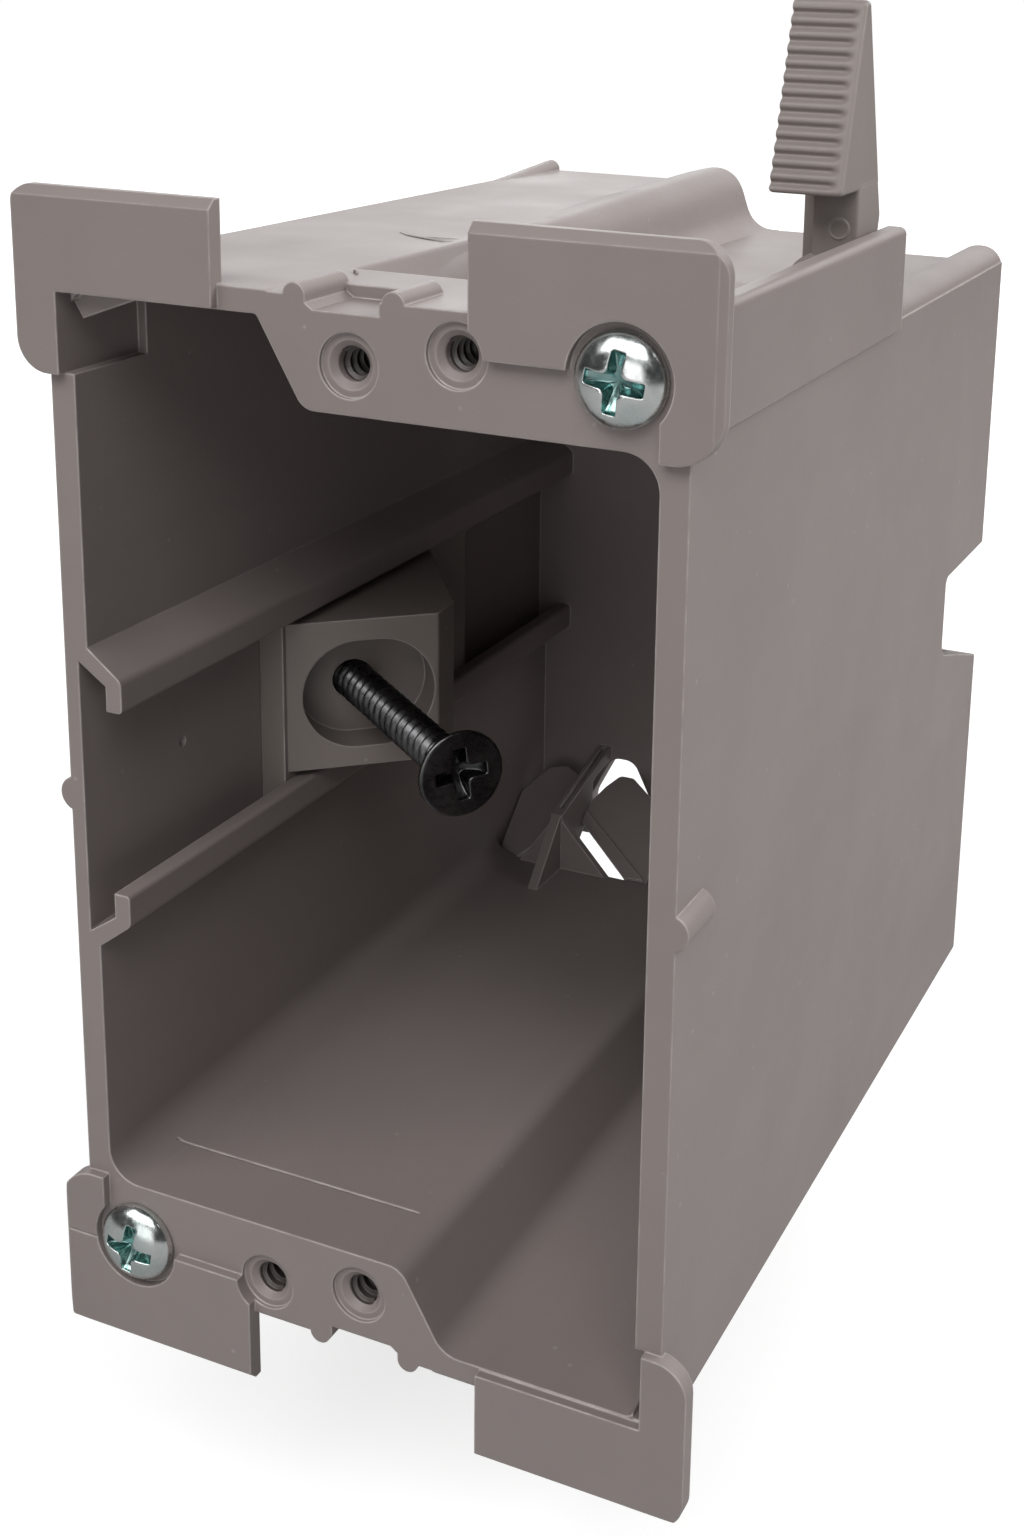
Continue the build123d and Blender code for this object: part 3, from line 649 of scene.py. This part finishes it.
def merge(mesh: Mesh, part: Mesh, place: Matrix) -> None:
    """Add a part to a shape.

    Args:
        mesh: The shape.
        part: The part; it is freed.
        place: Where it goes.
    """
    bmesh.ops.transform(part, matrix=place, verts=part.verts)
    data = bpy.data.meshes.new("part")
    part.to_mesh(data)
    part.free()
    mesh.from_mesh(data)
    bpy.data.meshes.remove(data)


def slab(outline: list[Flat], x0: float, x1: float, bevel: float) -> Mesh:
    """Make a prism along X with rounded edges.

    Args:
        outline: Its outline as (y, z).
        x0: One end.
        x1: The other end.
        bevel: Radius of its edges.

    Returns:
        The prism.
    """
    mesh = bmesh.new()
    rows = skin(mesh, [[Vector((x, y, z)) for y, z in outline] for x in (x0, x1)])
    mesh.faces.new(rows[0])
    mesh.faces.new(rows[1])
    bmesh.ops.recalc_face_normals(mesh, faces=mesh.faces)
    bmesh.ops.bevel(mesh, geom=list(mesh.edges), offset=bevel, segments=3, profile=0.5,
                    affect="EDGES", clamp_overlap=True)
    return mesh


# Screws


@dataclass(frozen=True)
class CrossRecess:
    """Cross shaped driver recess with tapered flutes."""

    reach: float
    half_width: float
    depth: float
    turn: float
    fillet: float = 0.95
    tip_round: float = 0.3
    lip: float = 0.07
    lip_share: float = 0.05
    reach_taper: Flat = (0.1, 0.52)
    width_taper: float = 0.38
    point: float = 1.14

    def eighth(self, reach: float, width: float) -> list[Flat]:
        """Return the outline from the middle of an arm's tip to its inner corner.

        Args:
            reach: Half length of the cross.
            width: Half width of an arm.

        Returns:
            The points.
        """
        tip = self.tip_round * width
        root = self.fillet * width
        points = [(reach, width * share) for share in (0.0, 0.35, 0.62)]
        points += [(reach - tip * (1 - c), width - tip * (1 - s)) for c, s in arc(25.0, 65.0)]
        inner = width + root
        outer = reach - tip
        points += [(outer + (inner - outer) * step / 4, width) for step in range(5)]
        points += [(inner - root * s, inner - root * c) for c, s in arc(15.0, 30.0)]
        return points

    def outline(self, reach: float, width: float) -> list[Flat]:
        """Return the whole outline, turned as the driver left it.

        Args:
            reach: Half length of the cross.
            width: Half width of an arm.

        Returns:
            Points round the cross.
        """
        part = self.eighth(reach, width)
        corner = width * (1 + self.fillet * (1 - math.sin(math.radians(45))))
        quarter = part + [(corner, corner)] + [(y, x) for x, y in reversed(part[1:])]
        points = []
        for c, s in arc(*(self.turn + 90 * step for step in range(4))):
            points += [(x * c - y * s, x * s + y * c) for x, y in quarter]
        return points

    def sides(self, mesh: Mesh, profile: list[Flat]) -> None:
        """Build the sides of a head, in step with the recess in its top.

        Args:
            mesh: The head's shape, to which this is added.
            profile: Radii and heights from the top downwards.
        """
        count = len(self.outline(self.reach, self.half_width))
        turn = Matrix.Rotation(math.radians(self.turn), 4, "Z")
        skin(mesh, [[turn @ p for p in ring(radius, height, count)] for radius, height in profile])

    def cut_into(self, mesh: Mesh, radius: float, crown: Callable[[float], float]) -> None:
        """Build the top of a head from a circle inwards, with the recess in its middle.

        Args:
            mesh: The head's shape, to which this is added.
            radius: Radius of the circle where the top begins.
            crown: Function from the distance to the axis to the height of the top.
        """
        mouth = self.outline(self.reach, self.half_width)
        count = len(mouth)
        turns = [math.radians(self.turn) + math.tau * i / count for i in range(count)]
        circle = [(radius * math.cos(a), radius * math.sin(a)) for a in turns]
        loops = []
        for share in (1.0, 0.8, 0.6, 0.42, 0.26, 0.12, 0.04, 0.0):
            loop = []
            for (mx, my), (cx, cy) in zip(mouth, circle):
                x, y = mx + (cx - mx) * share, my + (cy - my) * share
                dip = self.lip * max(0.0, 1 - share / self.lip_share)
                loop.append(Vector((x, y, crown(math.hypot(x, y)) - dip)))
            loops.append(loop)
        skin(mesh, loops)
        walls = [loops[-1]]
        for share in (0.1, 0.3, 0.5, 0.7, 0.88, 1.0):
            taper = 1 - self.reach_taper[0] * share - self.reach_taper[1] * share ** 2
            edge = self.outline(self.reach * taper,
                                self.half_width * (1 - self.width_taper * share))
            walls.append([Vector((x, y, crown(math.hypot(x, y)) - self.lip - self.depth * share))
                          for x, y in edge])
        rows = skin(mesh, walls, material=1)
        tip = mesh.verts.new((0, 0, crown(0.0) - self.point * self.depth))
        last = rows[-1]
        for i in range(count):
            mesh.faces.new((last[i], last[(i + 1) % count], tip)).material_index = 1


@dataclass(frozen=True)
class Thread:
    """Helical thread with a rounded crest."""

    crest: float
    root: float
    pitch: float
    steps: int = 32
    shape: tuple[Flat, ...] = ((0.0, 0.0), (0.14, 0.0), (0.3, 0.35), (0.42, 0.82), (0.53, 1.0),
                               (0.64, 0.82), (0.76, 0.35), (0.9, 0.0), (1.0, 0.0))
    blunt: float = 0.03
    taper: float = 0.75

    def wind(self, mesh: Mesh, low: float, high: float, fade_low: float,
             fade_high: float, point: float = 0.0) -> None:
        """Wind the thread along the z axis.

        Args:
            mesh: The shape to add to.
            low: Where it starts.
            high: Where it ends.
            fade_low: Length over which it grows at the start.
            fade_high: Length over which it fades into its root at the end.
            point: Length over which the shank tapers to a point at the start.
        """
        turns = (high - low) / self.pitch - 1
        loops = []
        for i in range(int(turns * self.steps) + 1):
            angle = math.tau * i / self.steps
            base = low + self.pitch * i / self.steps
            loop = []
            for along, rise in self.shape:
                z = base + self.pitch * along
                grow = min(1.0, max(0.0, (z - low) / fade_low), max(0.0, (high - z) / fade_high))
                radius = self.root + (self.crest - self.root) * rise * grow
                if point > 0:
                    radius *= min(1.0, max(self.blunt, (z - low) / point)) ** self.taper
                loop.append(Vector((radius * math.cos(angle), radius * math.sin(angle), z)))
            loops.append(loop)
        skin(mesh, loops, closed=False)


@dataclass(frozen=True)
class ClampScrew:
    """Zinc plated screw with a pan head, which pulls a clamp arm forward."""

    axis: Flat = CLAMP_AXIS
    head_r: float = 3.75
    head_h: float = 2.3
    length: float = 54.0
    top_share: float = 0.86
    crown_edge: float = 0.24
    crown_power: float = 2.3
    crown_round: float = 0.62
    fade: Flat = (1.6, 1.0)
    thread: Thread = Thread(crest=1.72, root=1.3, pitch=0.79, steps=24)
    recess: CrossRecess = CrossRecess(reach=2.42, half_width=0.56, depth=1.35, turn=-9.0)

    def crown(self, distance: float) -> float:
        """Return the height of the domed head.

        Args:
            distance: Distance from the axis.

        Returns:
            The height over the rim.
        """
        share = min(1.0, distance / self.head_r)
        bulge = (1 - share ** self.crown_power) ** self.crown_round
        return self.head_h * (self.crown_edge + (1 - self.crown_edge) * bulge)

    def build(self, end: End, finishes: Finishes) -> Object:
        """Build the screw at one end of the box.

        Args:
            end: The end.
            finishes: The finishes to use.

        Returns:
            The screw.
        """
        mesh = bmesh.new()
        crest, root = self.thread.crest, self.thread.root
        dome = [self.head_r * share for share in (self.top_share, 0.92, 0.96, 0.985, 1.0)]
        profile = [(radius, self.crown(radius)) for radius in dome]
        profile += [(self.head_r, 0.25), (self.head_r - 0.12, 0.04), (self.head_r - 0.4, 0.0),
                    (crest, 0.0), (crest, -1.0), (root, -1.6)]
        self.recess.sides(mesh, profile)
        self.recess.cut_into(mesh, dome[0], self.crown)
        self.thread.wind(mesh, 0.3 - self.length, -1.2, *self.fade)
        tip = [ring(radius, height - self.length, self.thread.steps)
               for radius, height in ((root, 0.9), (root, 0.35), (root - 0.3, 0.0), (0.2, 0.0))]
        rows = skin(mesh, tip)
        mesh.faces.new(rows[-1])
        finish_mesh(mesh, end.matrix @ facing_room(self.axis[0], 0, self.axis[1]))
        return object_from(end.value + "_clamp_screw_threaded", mesh,
                           [finishes[Look.ZINC], finishes[Look.ZINC_RECESS]])


@dataclass(frozen=True)
class StudScrew:
    """Black wood screw with a countersunk head."""

    lean: float = 37.9
    origin: Point = (-18.5, 33.9, -0.1)
    head_z: float = 22.9
    length: float = 34.9
    head_r: float = 4.15
    rim: float = 0.45
    head_h: float = 2.9
    top_inset: float = 0.32
    dish: float = 0.1
    fade: Flat = (2.5, 0.7)
    point: float = 5.0
    thread: Thread = Thread(crest=2.05, root=1.58, pitch=1.42, steps=40)
    recess: CrossRecess = CrossRecess(reach=2.55, half_width=0.62, depth=1.5, turn=6.0)

    def crown(self, distance: float) -> float:
        """Return the height of the flat head, a little dished towards its recess."""
        return self.head_z - self.dish * max(0.0, 1 - distance / self.head_r) ** 2

    def build(self, finishes: Finishes) -> Object:
        """Build the screw.

        Args:
            finishes: The finishes to use.

        Returns:
            The screw.
        """
        mesh = bmesh.new()
        top = self.head_z
        cone = top - self.head_h
        inner = self.head_r - self.top_inset
        profile = [(inner, self.crown(inner)), (self.head_r - 0.22, top),
                   (self.head_r - 0.08, top - 0.05), (self.head_r, top - 0.16),
                   (self.head_r, top - self.rim), (self.head_r - 0.1, top - self.rim - 0.12),
                   (3.1, top - 1.42), (2.35, top - 2.25), (1.95, cone + 0.15), (1.78, cone - 0.3),
                   (self.thread.root, cone - 0.9)]
        self.recess.sides(mesh, profile)
        self.recess.cut_into(mesh, inner, self.crown)
        self.thread.wind(mesh, top - self.length, cone + 0.2, *self.fade, point=self.point)
        lean = math.radians(self.lean)
        along = Vector((math.cos(lean), -math.sin(lean), 0))
        finish_mesh(mesh, axes(Vector(self.origin), Vector((0, 0, 1)), along))
        return object_from("stud_screw_threaded", mesh, [finishes[Look.BLACK]] * 2)


@dataclass(frozen=True)
class HoleThread:
    """Thread cut in the four screw holes of the rim."""

    holes: tuple[Flat, ...] = ((0.0, 41.67), (9.5, 43.423))
    thread: Thread = Thread(crest=1.1, root=1.435, pitch=1.05, steps=48,
                            shape=((0.0, 0.0), (0.3, 0.0), (0.41, 0.5), (0.47, 0.93), (0.53, 0.93),
                                   (0.59, 0.5), (0.7, 0.0), (1.0, 0.0)))
    depth: float = 10.6
    mouth: float = 0.75
    fade: Flat = (0.8, 0.8)

    def build(self, end: End, number: int, material: Material) -> Object:
        """Build the thread of one hole.

        Args:
            end: End of the box.
            number: Which of its two holes.
            material: The finish.

        Returns:
            The thread's surface.
        """
        mesh = bmesh.new()
        self.thread.wind(mesh, -self.depth, -self.mouth, *self.fade)
        x, z = self.holes[number]
        place = Matrix.Scale(MM, 4) @ end.matrix @ facing_room(x, 0, z)
        bmesh.ops.remove_doubles(mesh, verts=mesh.verts, dist=WELD)
        bmesh.ops.reverse_faces(mesh, faces=mesh.faces)
        bmesh.ops.transform(mesh, matrix=place, verts=mesh.verts)
        return object_from(f"{end.value}_hole_thread_{number + 1}", mesh, [material])


# Clamp arm


@dataclass(frozen=True)
class ClampArm:
    """Ribbed wedge on a neck and a hub, seen as at the upper end."""

    axis: Flat = CLAMP_AXIS
    inner: float = 3.4
    outer: float = 3.5
    front: float = 39.3
    foot: float = 52.4
    tip: float = 69.3
    tip_y: Flat = (44.1, 45.3)
    heel: Flat = (51.6, 49.6)
    neck_front: float = 44.6
    neck_inner: float = 0.9
    neck_back: float = 51.2
    neck_rise: float = 0.8
    neck_bevel: float = 0.35
    shoulder: float = 50.3
    knee: float = 48.0
    blade_front: float = 49.6
    blade_foot: float = 1.6
    blade_bevel: float = 0.2
    overlap: float = 0.3
    hub_r: float = 3.35
    hub_chamfer: float = 0.25
    bore_r: float = 1.8
    bore_chamfer: float = 0.2
    hub_steps: int = 48
    ribs: int = 13
    rib_rows: int = 14
    rib_depth: float = 0.42
    rib_phase: float = 0.72
    rib_power: float = 1.6
    rib_ease: float = 0.3
    rib_margin: Flat = (0.35, 0.7)
    border: float = 0.75
    border_ease: float = 0.55
    front_steps: int = 21
    edge: float = 0.42
    edge_share: float = 0.45
    end_round: float = 0.45
    dimple: Point = (1.7, 48.9, 0.9)
    dimple_steps: int = 36

    def loop(self, z: float, inset: float) -> list[Vector]:
        """Return the wedge's outline at a height.

        Args:
            z: The height.
            inset: How far the outline draws in, for the rounded ends.

        Returns:
            The points, beginning at the inner front corner.
        """
        share = (z - self.foot) / (self.tip - self.foot)
        left = self.axis[0] - self.inner + inset
        right = self.axis[0] + self.outer - inset
        front = self.front + (self.tip_y[0] - self.front) * share + inset
        run = (self.tip - z) / (self.tip - self.heel[1])
        back = self.tip_y[1] + (self.heel[0] - self.tip_y[1]) * run - inset
        edge = min(self.edge, self.edge_share * (back - front))
        pitch = (self.tip - self.foot - 2 * self.end_round) / self.ribs
        wave = 0.5 + 0.5 * math.cos(math.tau * (z - self.foot - pitch * self.rib_phase) / pitch)
        inside = min(1.0, max(0.0, (self.tip - self.rib_margin[1] - z) / self.rib_ease),
                     max(0.0, (z - self.foot - self.rib_margin[0]) / self.rib_ease))
        groove = self.rib_depth * wave ** self.rib_power * inside if inset == 0 else 0.0
        points = []
        flat_end = right - edge
        for step in range(self.front_steps + 1):
            x = left + (flat_end - left) * step / self.front_steps
            fall = min(1.0, max(0.0, (right - self.border - x) / self.border_ease))
            deep = groove * (3 * fall ** 2 - 2 * fall ** 3)
            points.append(Vector((x, front + deep, z)))
        points += [Vector((flat_end + edge * s, front + edge * (1 - c), z))
                   for c, s in arc(*QUARTER)]
        points += [Vector((flat_end + edge * c, back - edge + edge * s, z))
                   for c, s in arc(0.0, *QUARTER)]
        points += [Vector((flat_end + (left + edge - flat_end) * share, back, z))
                   for share in (0.33, 0.67, 1.0)]
        points.append(Vector((left, back - edge, z)))
        return points

    def wedge(self, mesh: Mesh) -> None:
        """Add the ribbed wedge, its two ends rounded.

        Args:
            mesh: The shape to add to.
        """
        radius = self.end_round
        bends = [(radius * (1 - s), radius * (1 - c)) for c, s in arc(*QUARTER)]
        rows = [self.loop(self.foot + rise, inset) for rise, inset in reversed(bends)]
        count = self.ribs * self.rib_rows
        low, high = self.foot + radius, self.tip - radius
        rows += [self.loop(low + (high - low) * i / count, 0.0) for i in range(count + 1)]
        rows += [self.loop(self.tip - drop, inset) for drop, inset in bends]
        made = skin(mesh, rows)
        mesh.faces.new(made[0])
        mesh.faces.new(made[-1])

    def build(self, end: End, material: Material) -> Object:
        """Build the arm at one end of the box.

        Args:
            end: The end.
            material: The finish.

        Returns:
            The arm.
        """
        x, z = self.axis
        inner, step, outer = x - self.inner, x - self.neck_inner, x + self.outer
        top, foot = self.foot + self.neck_rise, z + self.blade_foot
        mesh = bmesh.new()
        self.wedge(mesh)
        spine = [(self.shoulder, top), self.heel, (self.neck_back, self.knee)]
        neck = [(self.neck_front, z), (self.neck_front, top), *spine, (self.neck_back, z)]
        blade = [(self.blade_front, foot), (self.blade_front, top), *spine, (self.neck_back, foot)]
        for part in (slab(neck, step, outer, self.neck_bevel),
                     slab(blade, inner, step + self.overlap, self.blade_bevel)):
            merge(mesh, part, Matrix.Identity(4))
        merge(mesh, self.hub(), facing_room(x, 0, z))
        merge(mesh, self.pin_mark(),
              facing_room(x + self.dimple[0], self.neck_front, self.dimple[1]))
        finish_mesh(mesh, end.matrix)
        return object_from(end.value + "_clamp_arm_ribbed", mesh, [material], smooth_angle=40.0)

    def hub(self) -> Mesh:
        """Make the hub round the screw.

        Returns:
            The hub, its axis on z towards the room.
        """
        mesh = bmesh.new()
        low, high = -self.neck_back, -self.neck_front
        bore, cut = self.bore_r, self.bore_chamfer
        rim, turn = self.hub_r, self.hub_chamfer
        profile = [(bore, low + cut), (bore + cut, low), (rim - turn, low), (rim, low + turn),
                   (rim, high - turn), (rim - turn, high), (bore + cut, high), (bore, high - cut),
                   (bore, low + cut)]
        skin(mesh, [ring(radius, height, self.hub_steps) for radius, height in profile])
        bmesh.ops.remove_doubles(mesh, verts=mesh.verts, dist=WELD)
        return mesh

    def pin_mark(self) -> Mesh:
        """Make the round mark on the neck: a fine ring round a shallow dish.

        Returns:
            The mark, its axis on z towards the room.
        """
        mesh = bmesh.new()
        radius = self.dimple[2]
        profile = [(radius + 0.14, -0.05), (radius + 0.08, 0.1), (radius - 0.02, 0.14),
                   (radius - 0.12, 0.03), (radius * 0.6, 0.01), (radius * 0.25, 0.006)]
        rows = skin(mesh, [ring(r, height, self.dimple_steps) for r, height in profile])
        mesh.faces.new(rows[-1])
        return mesh


# Small features of the shell


@dataclass(frozen=True)
class Flash:
    """Thin sliver of plastic that the mould left behind."""

    name: str
    path: tuple[Point, ...]
    width: float
    height: float
    slimmest: float = 0.15
    crest: Flat = (0.5, 0.6)

    def build(self, material: Material) -> Object:
        """Build the sliver as a flat, tapering strip along its path.

        Args:
            material: The finish.

        Returns:
            The sliver.
        """
        mesh = bmesh.new()
        points = [Vector(p) for p in self.path]
        loops = []
        for i, point in enumerate(points):
            ahead = points[min(i + 1, len(points) - 1)] - points[max(i - 1, 0)]
            side = ahead.cross(Vector((0, 0, 1))).normalized()
            share = i / (len(points) - 1)
            swell = math.sin(math.pi * min(1.0, share * 0.8 + 0.2))
            slim = self.slimmest + (1 - self.slimmest) * swell
            wide = side * self.width * 0.5 * slim
            rise = Vector((0, 0, self.height * slim))
            loops.append([point - wide, point - wide * self.crest[0] + rise,
                          point + wide * self.crest[1] + rise, point + wide])
        rows = skin(mesh, loops)
        mesh.faces.new(rows[0])
        mesh.faces.new(rows[-1])
        finish_mesh(mesh, Matrix.Identity(4))
        return object_from(self.name, mesh, [material], smooth_angle=60.0)


FLASHES = (
    Flash("flash_top", ((-14.9, 34.4, 46.71), (-13.4, 33.1, 46.74), (-11.7, 32.3, 46.78),
                        (-10.2, 31.7, 46.8), (-8.6, 31.3, 46.8), (-7.9, 31.9, 46.76)), 0.5, 0.09),
    Flash("flash_top_tail", ((-11.9, 32.6, 46.74), (-10.6, 32.7, 46.78), (-9.4, 32.9, 46.78),
                             (-8.2, 33.4, 46.74)), 0.3, 0.08),
    Flash("flash_saddle", ((-6.6, 12.1, 46.88), (-6.1, 11.4, 46.98), (-5.6, 10.8, 47.02),
                           (-5.3, 10.2, 46.9)), 0.35, 0.2),
)


# Studio


@dataclass(frozen=True)
class Lamp:
    """Soft rectangular lamp that faces the object; level is what a white surface then shows."""

    name: str
    heading: Point
    distance: float
    size: Flat
    level: float
    aim: Point = (0.0, 0.04, 0.0)

    def build(self) -> None:
        """Add the lamp to the scene."""
        data = bpy.data.lights.new(self.name, "AREA")
        data.shape = "RECTANGLE"
        data.size, data.size_y = self.size
        data.energy = self.level * (math.pi * self.distance) ** 2
        lamp = bpy.data.objects.new(self.name, data)
        towards = Vector(self.heading).normalized()
        lamp.location = Vector(self.aim) + towards * self.distance
        lamp.rotation_euler = towards.to_track_quat("Z", "Y").to_euler()
        bpy.context.scene.collection.objects.link(lamp)


LAMPS = (
    Lamp("key_left", (-0.35, -0.6, 0.72), 0.9, (0.6, 0.5), 0.36),
    Lamp("key_right", (0.2, -0.6, 0.75), 0.9, (0.6, 0.5), 0.45),
    Lamp("fill", (0.1, -1.0, 0.15), 0.9, (0.6, 0.5), 0.17),
    Lamp("side", (0.9, 0.3, 0.6), 0.8, (0.5, 0.5), 0.7),
    Lamp("back", (0.0, 0.85, 0.5), 0.9, (0.9, 0.6), 0.34),
    Lamp("back_left", (-0.6, 0.7, 0.4), 0.9, (0.6, 0.6), 0.23),
)


@dataclass
class Studio:
    """Camera, floor, lamps and background."""

    camera_place: Point = (81.345, -134.181, 74.770)
    camera_turn: Point = (75.258, -1.187, 24.267)
    focal_px: float = 2049.5
    centre_px: Flat = (602.06, 469.44)
    image_px: Flat = (1024.0, 1536.0)
    sensor: float = 36.0
    clip: Flat = (0.005, 20.0)
    floor_z: float = -0.0715
    floor_half: float = 3.0
    floor_grey: float = 0.4
    floor_rough: float = 0.9
    ambient: float = 0.05
    lift_near: float = 0.7
    lift_far: float = 1.0
    lift_reach: Flat = (0.12, 0.9)

    def camera(self) -> None:
        """Place the camera at the photograph's viewpoint."""
        data = bpy.data.cameras.new("photo_camera")
        data.sensor_fit = "AUTO"
        data.sensor_width = self.sensor
        longest = max(self.image_px)
        data.lens = self.focal_px * self.sensor / longest
        data.shift_x = (self.image_px[0] / 2 - self.centre_px[0]) / longest
        data.shift_y = (self.centre_px[1] - self.image_px[1] / 2) / longest
        data.clip_start, data.clip_end = self.clip
        camera = bpy.data.objects.new("photo_camera", data)
        camera.location = Vector(self.camera_place) * MM
        camera.rotation_euler = Euler([math.radians(a) for a in self.camera_turn])
        bpy.context.scene.collection.objects.link(camera)
        bpy.context.scene.camera = camera

    def background(self) -> None:
        """Make the world white for the camera, and plain grey as a light."""
        world = bpy.data.worlds.new("studio")
        bpy.context.scene.world = world
        world.use_nodes = True
        tree, link = world.node_tree, world.node_tree.links.new
        tree.nodes.clear()
        path = add_node(tree, "ShaderNodeLightPath")
        either = add_node(tree, "ShaderNodeMath")
        either.operation = "MAXIMUM"
        link(path.outputs["Is Camera Ray"], either.inputs[0])
        link(path.outputs["Is Transmission Ray"], either.inputs[1])
        plain = add_node(tree, "ShaderNodeBackground", Color=WHITE, Strength=self.ambient)
        white = add_node(tree, "ShaderNodeBackground", Color=WHITE, Strength=1.0)
        mix = add_node(tree, "ShaderNodeMixShader")
        link(either.outputs[0], mix.inputs["Fac"])
        link(plain.outputs[0], mix.inputs[1])
        link(white.outputs[0], mix.inputs[2])
        out = add_node(tree, "ShaderNodeOutputWorld")
        link(mix.outputs[0], out.inputs["Surface"])

    def floor(self) -> None:
        """Lay the pale floor, which keeps the shadow and looks white elsewhere."""
        mesh = bmesh.new()
        half = self.floor_half
        corners = [mesh.verts.new((x, y, self.floor_z)) for x, y in
                   ((-half, -half), (half, -half), (half, half), (-half, half))]
        mesh.faces.new(corners)
        material = bpy.data.materials.new("pale_floor")
        material.use_nodes = True
        tree, link = material.node_tree, material.node_tree.links.new
        shader = tree.nodes["Principled BSDF"]
        shader.inputs["Base Color"].default_value = (*[self.floor_grey] * 3, 1)
        shader.inputs["Roughness"].default_value = self.floor_rough
        shader.inputs["Emission Color"].default_value = WHITE
        place = add_node(tree, "ShaderNodeTexCoord")
        away = add_node(tree, "ShaderNodeVectorMath")
        away.operation = "LENGTH"
        link(place.outputs["Object"], away.inputs[0])
        lift = add_node(tree, "ShaderNodeMapRange", From_Min=self.lift_reach[0],
                        From_Max=self.lift_reach[1], To_Min=self.lift_near, To_Max=self.lift_far)
        link(away.outputs["Value"], lift.inputs["Value"])
        path = add_node(tree, "ShaderNodeLightPath")
        seen = add_node(tree, "ShaderNodeMath")
        seen.operation = "MULTIPLY"
        link(path.outputs["Is Camera Ray"], seen.inputs[0])
        link(lift.outputs["Result"], seen.inputs[1])
        link(seen.outputs[0], shader.inputs["Emission Strength"])
        object_from("floor", mesh, [material])

    def build(self) -> None:
        """Build the whole studio."""
        bpy.context.scene.view_settings.view_transform = "Standard"
        self.camera()
        for lamp in LAMPS:
            lamp.build()
        self.background()
        self.floor()


# Assembly


@dataclass
class BackBox:
    """The whole object: dressed model parts and the pieces that stand in for some of them."""

    frame: dict
    finishes: Finishes
    body_of: dict[str, str] = field(init=False)

    def __post_init__(self) -> None:
        """Note which body each node of the model belongs to."""
        bodies = self.frame["record"]["behaviour"]["bodies"]
        self.body_of = {node: body for body, nodes in bodies.items() for node in nodes}

    def dress(self) -> None:
        """Give every node of the model the finish of its material slot."""
        for part in self.frame["record"]["subparts"]:
            for place in self.frame["nodes"][part["node"]].material_slots:
                place.material = self.finishes[SLOT_LOOKS[part["material_slot"]]]
            LOG.info("dressed %s as %s", part["node"], part["material_slot"])

    def stand_in(self, piece: Object, node: str) -> None:
        """Let a piece take the place of a node and move with it.

        Args:
            piece: The piece.
            node: The node of the model.
        """
        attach(piece, self.body_of[node])
        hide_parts(node)
        LOG.info("built %s for %s", piece.name, node)

    def join(self, piece: Object, body: str) -> None:
        """Let an extra piece move with a body.

        Args:
            piece: The piece.
            body: The body.
        """
        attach(piece, body)
        LOG.info("built %s on %s", piece.name, body)

    def build(self) -> None:
        """Dress the model and build all pieces."""
        self.dress()
        looks = self.finishes
        screw, arm, thread = ClampScrew(), ClampArm(), HoleThread()
        for end in End:
            self.stand_in(screw.build(end, looks), end.value + "_clamp_screw")
            self.stand_in(arm.build(end, looks[Look.ARM]), end.value + "_clamp_arm")
            for number in range(len(thread.holes)):
                self.join(thread.build(end, number, looks[Look.HOLE]), "shell")
        self.stand_in(StudScrew().build(looks), "stud_screw")
        for flash in FLASHES:
            self.join(flash.build(looks[Look.SHELL]), "shell")


def main() -> None:
    """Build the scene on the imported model."""
    logging.basicConfig(level=logging.INFO, format="%(message)s")
    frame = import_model()
    Studio().build()
    BackBox(frame, make_finishes()).build()


if __name__ == "__main__":
    main()
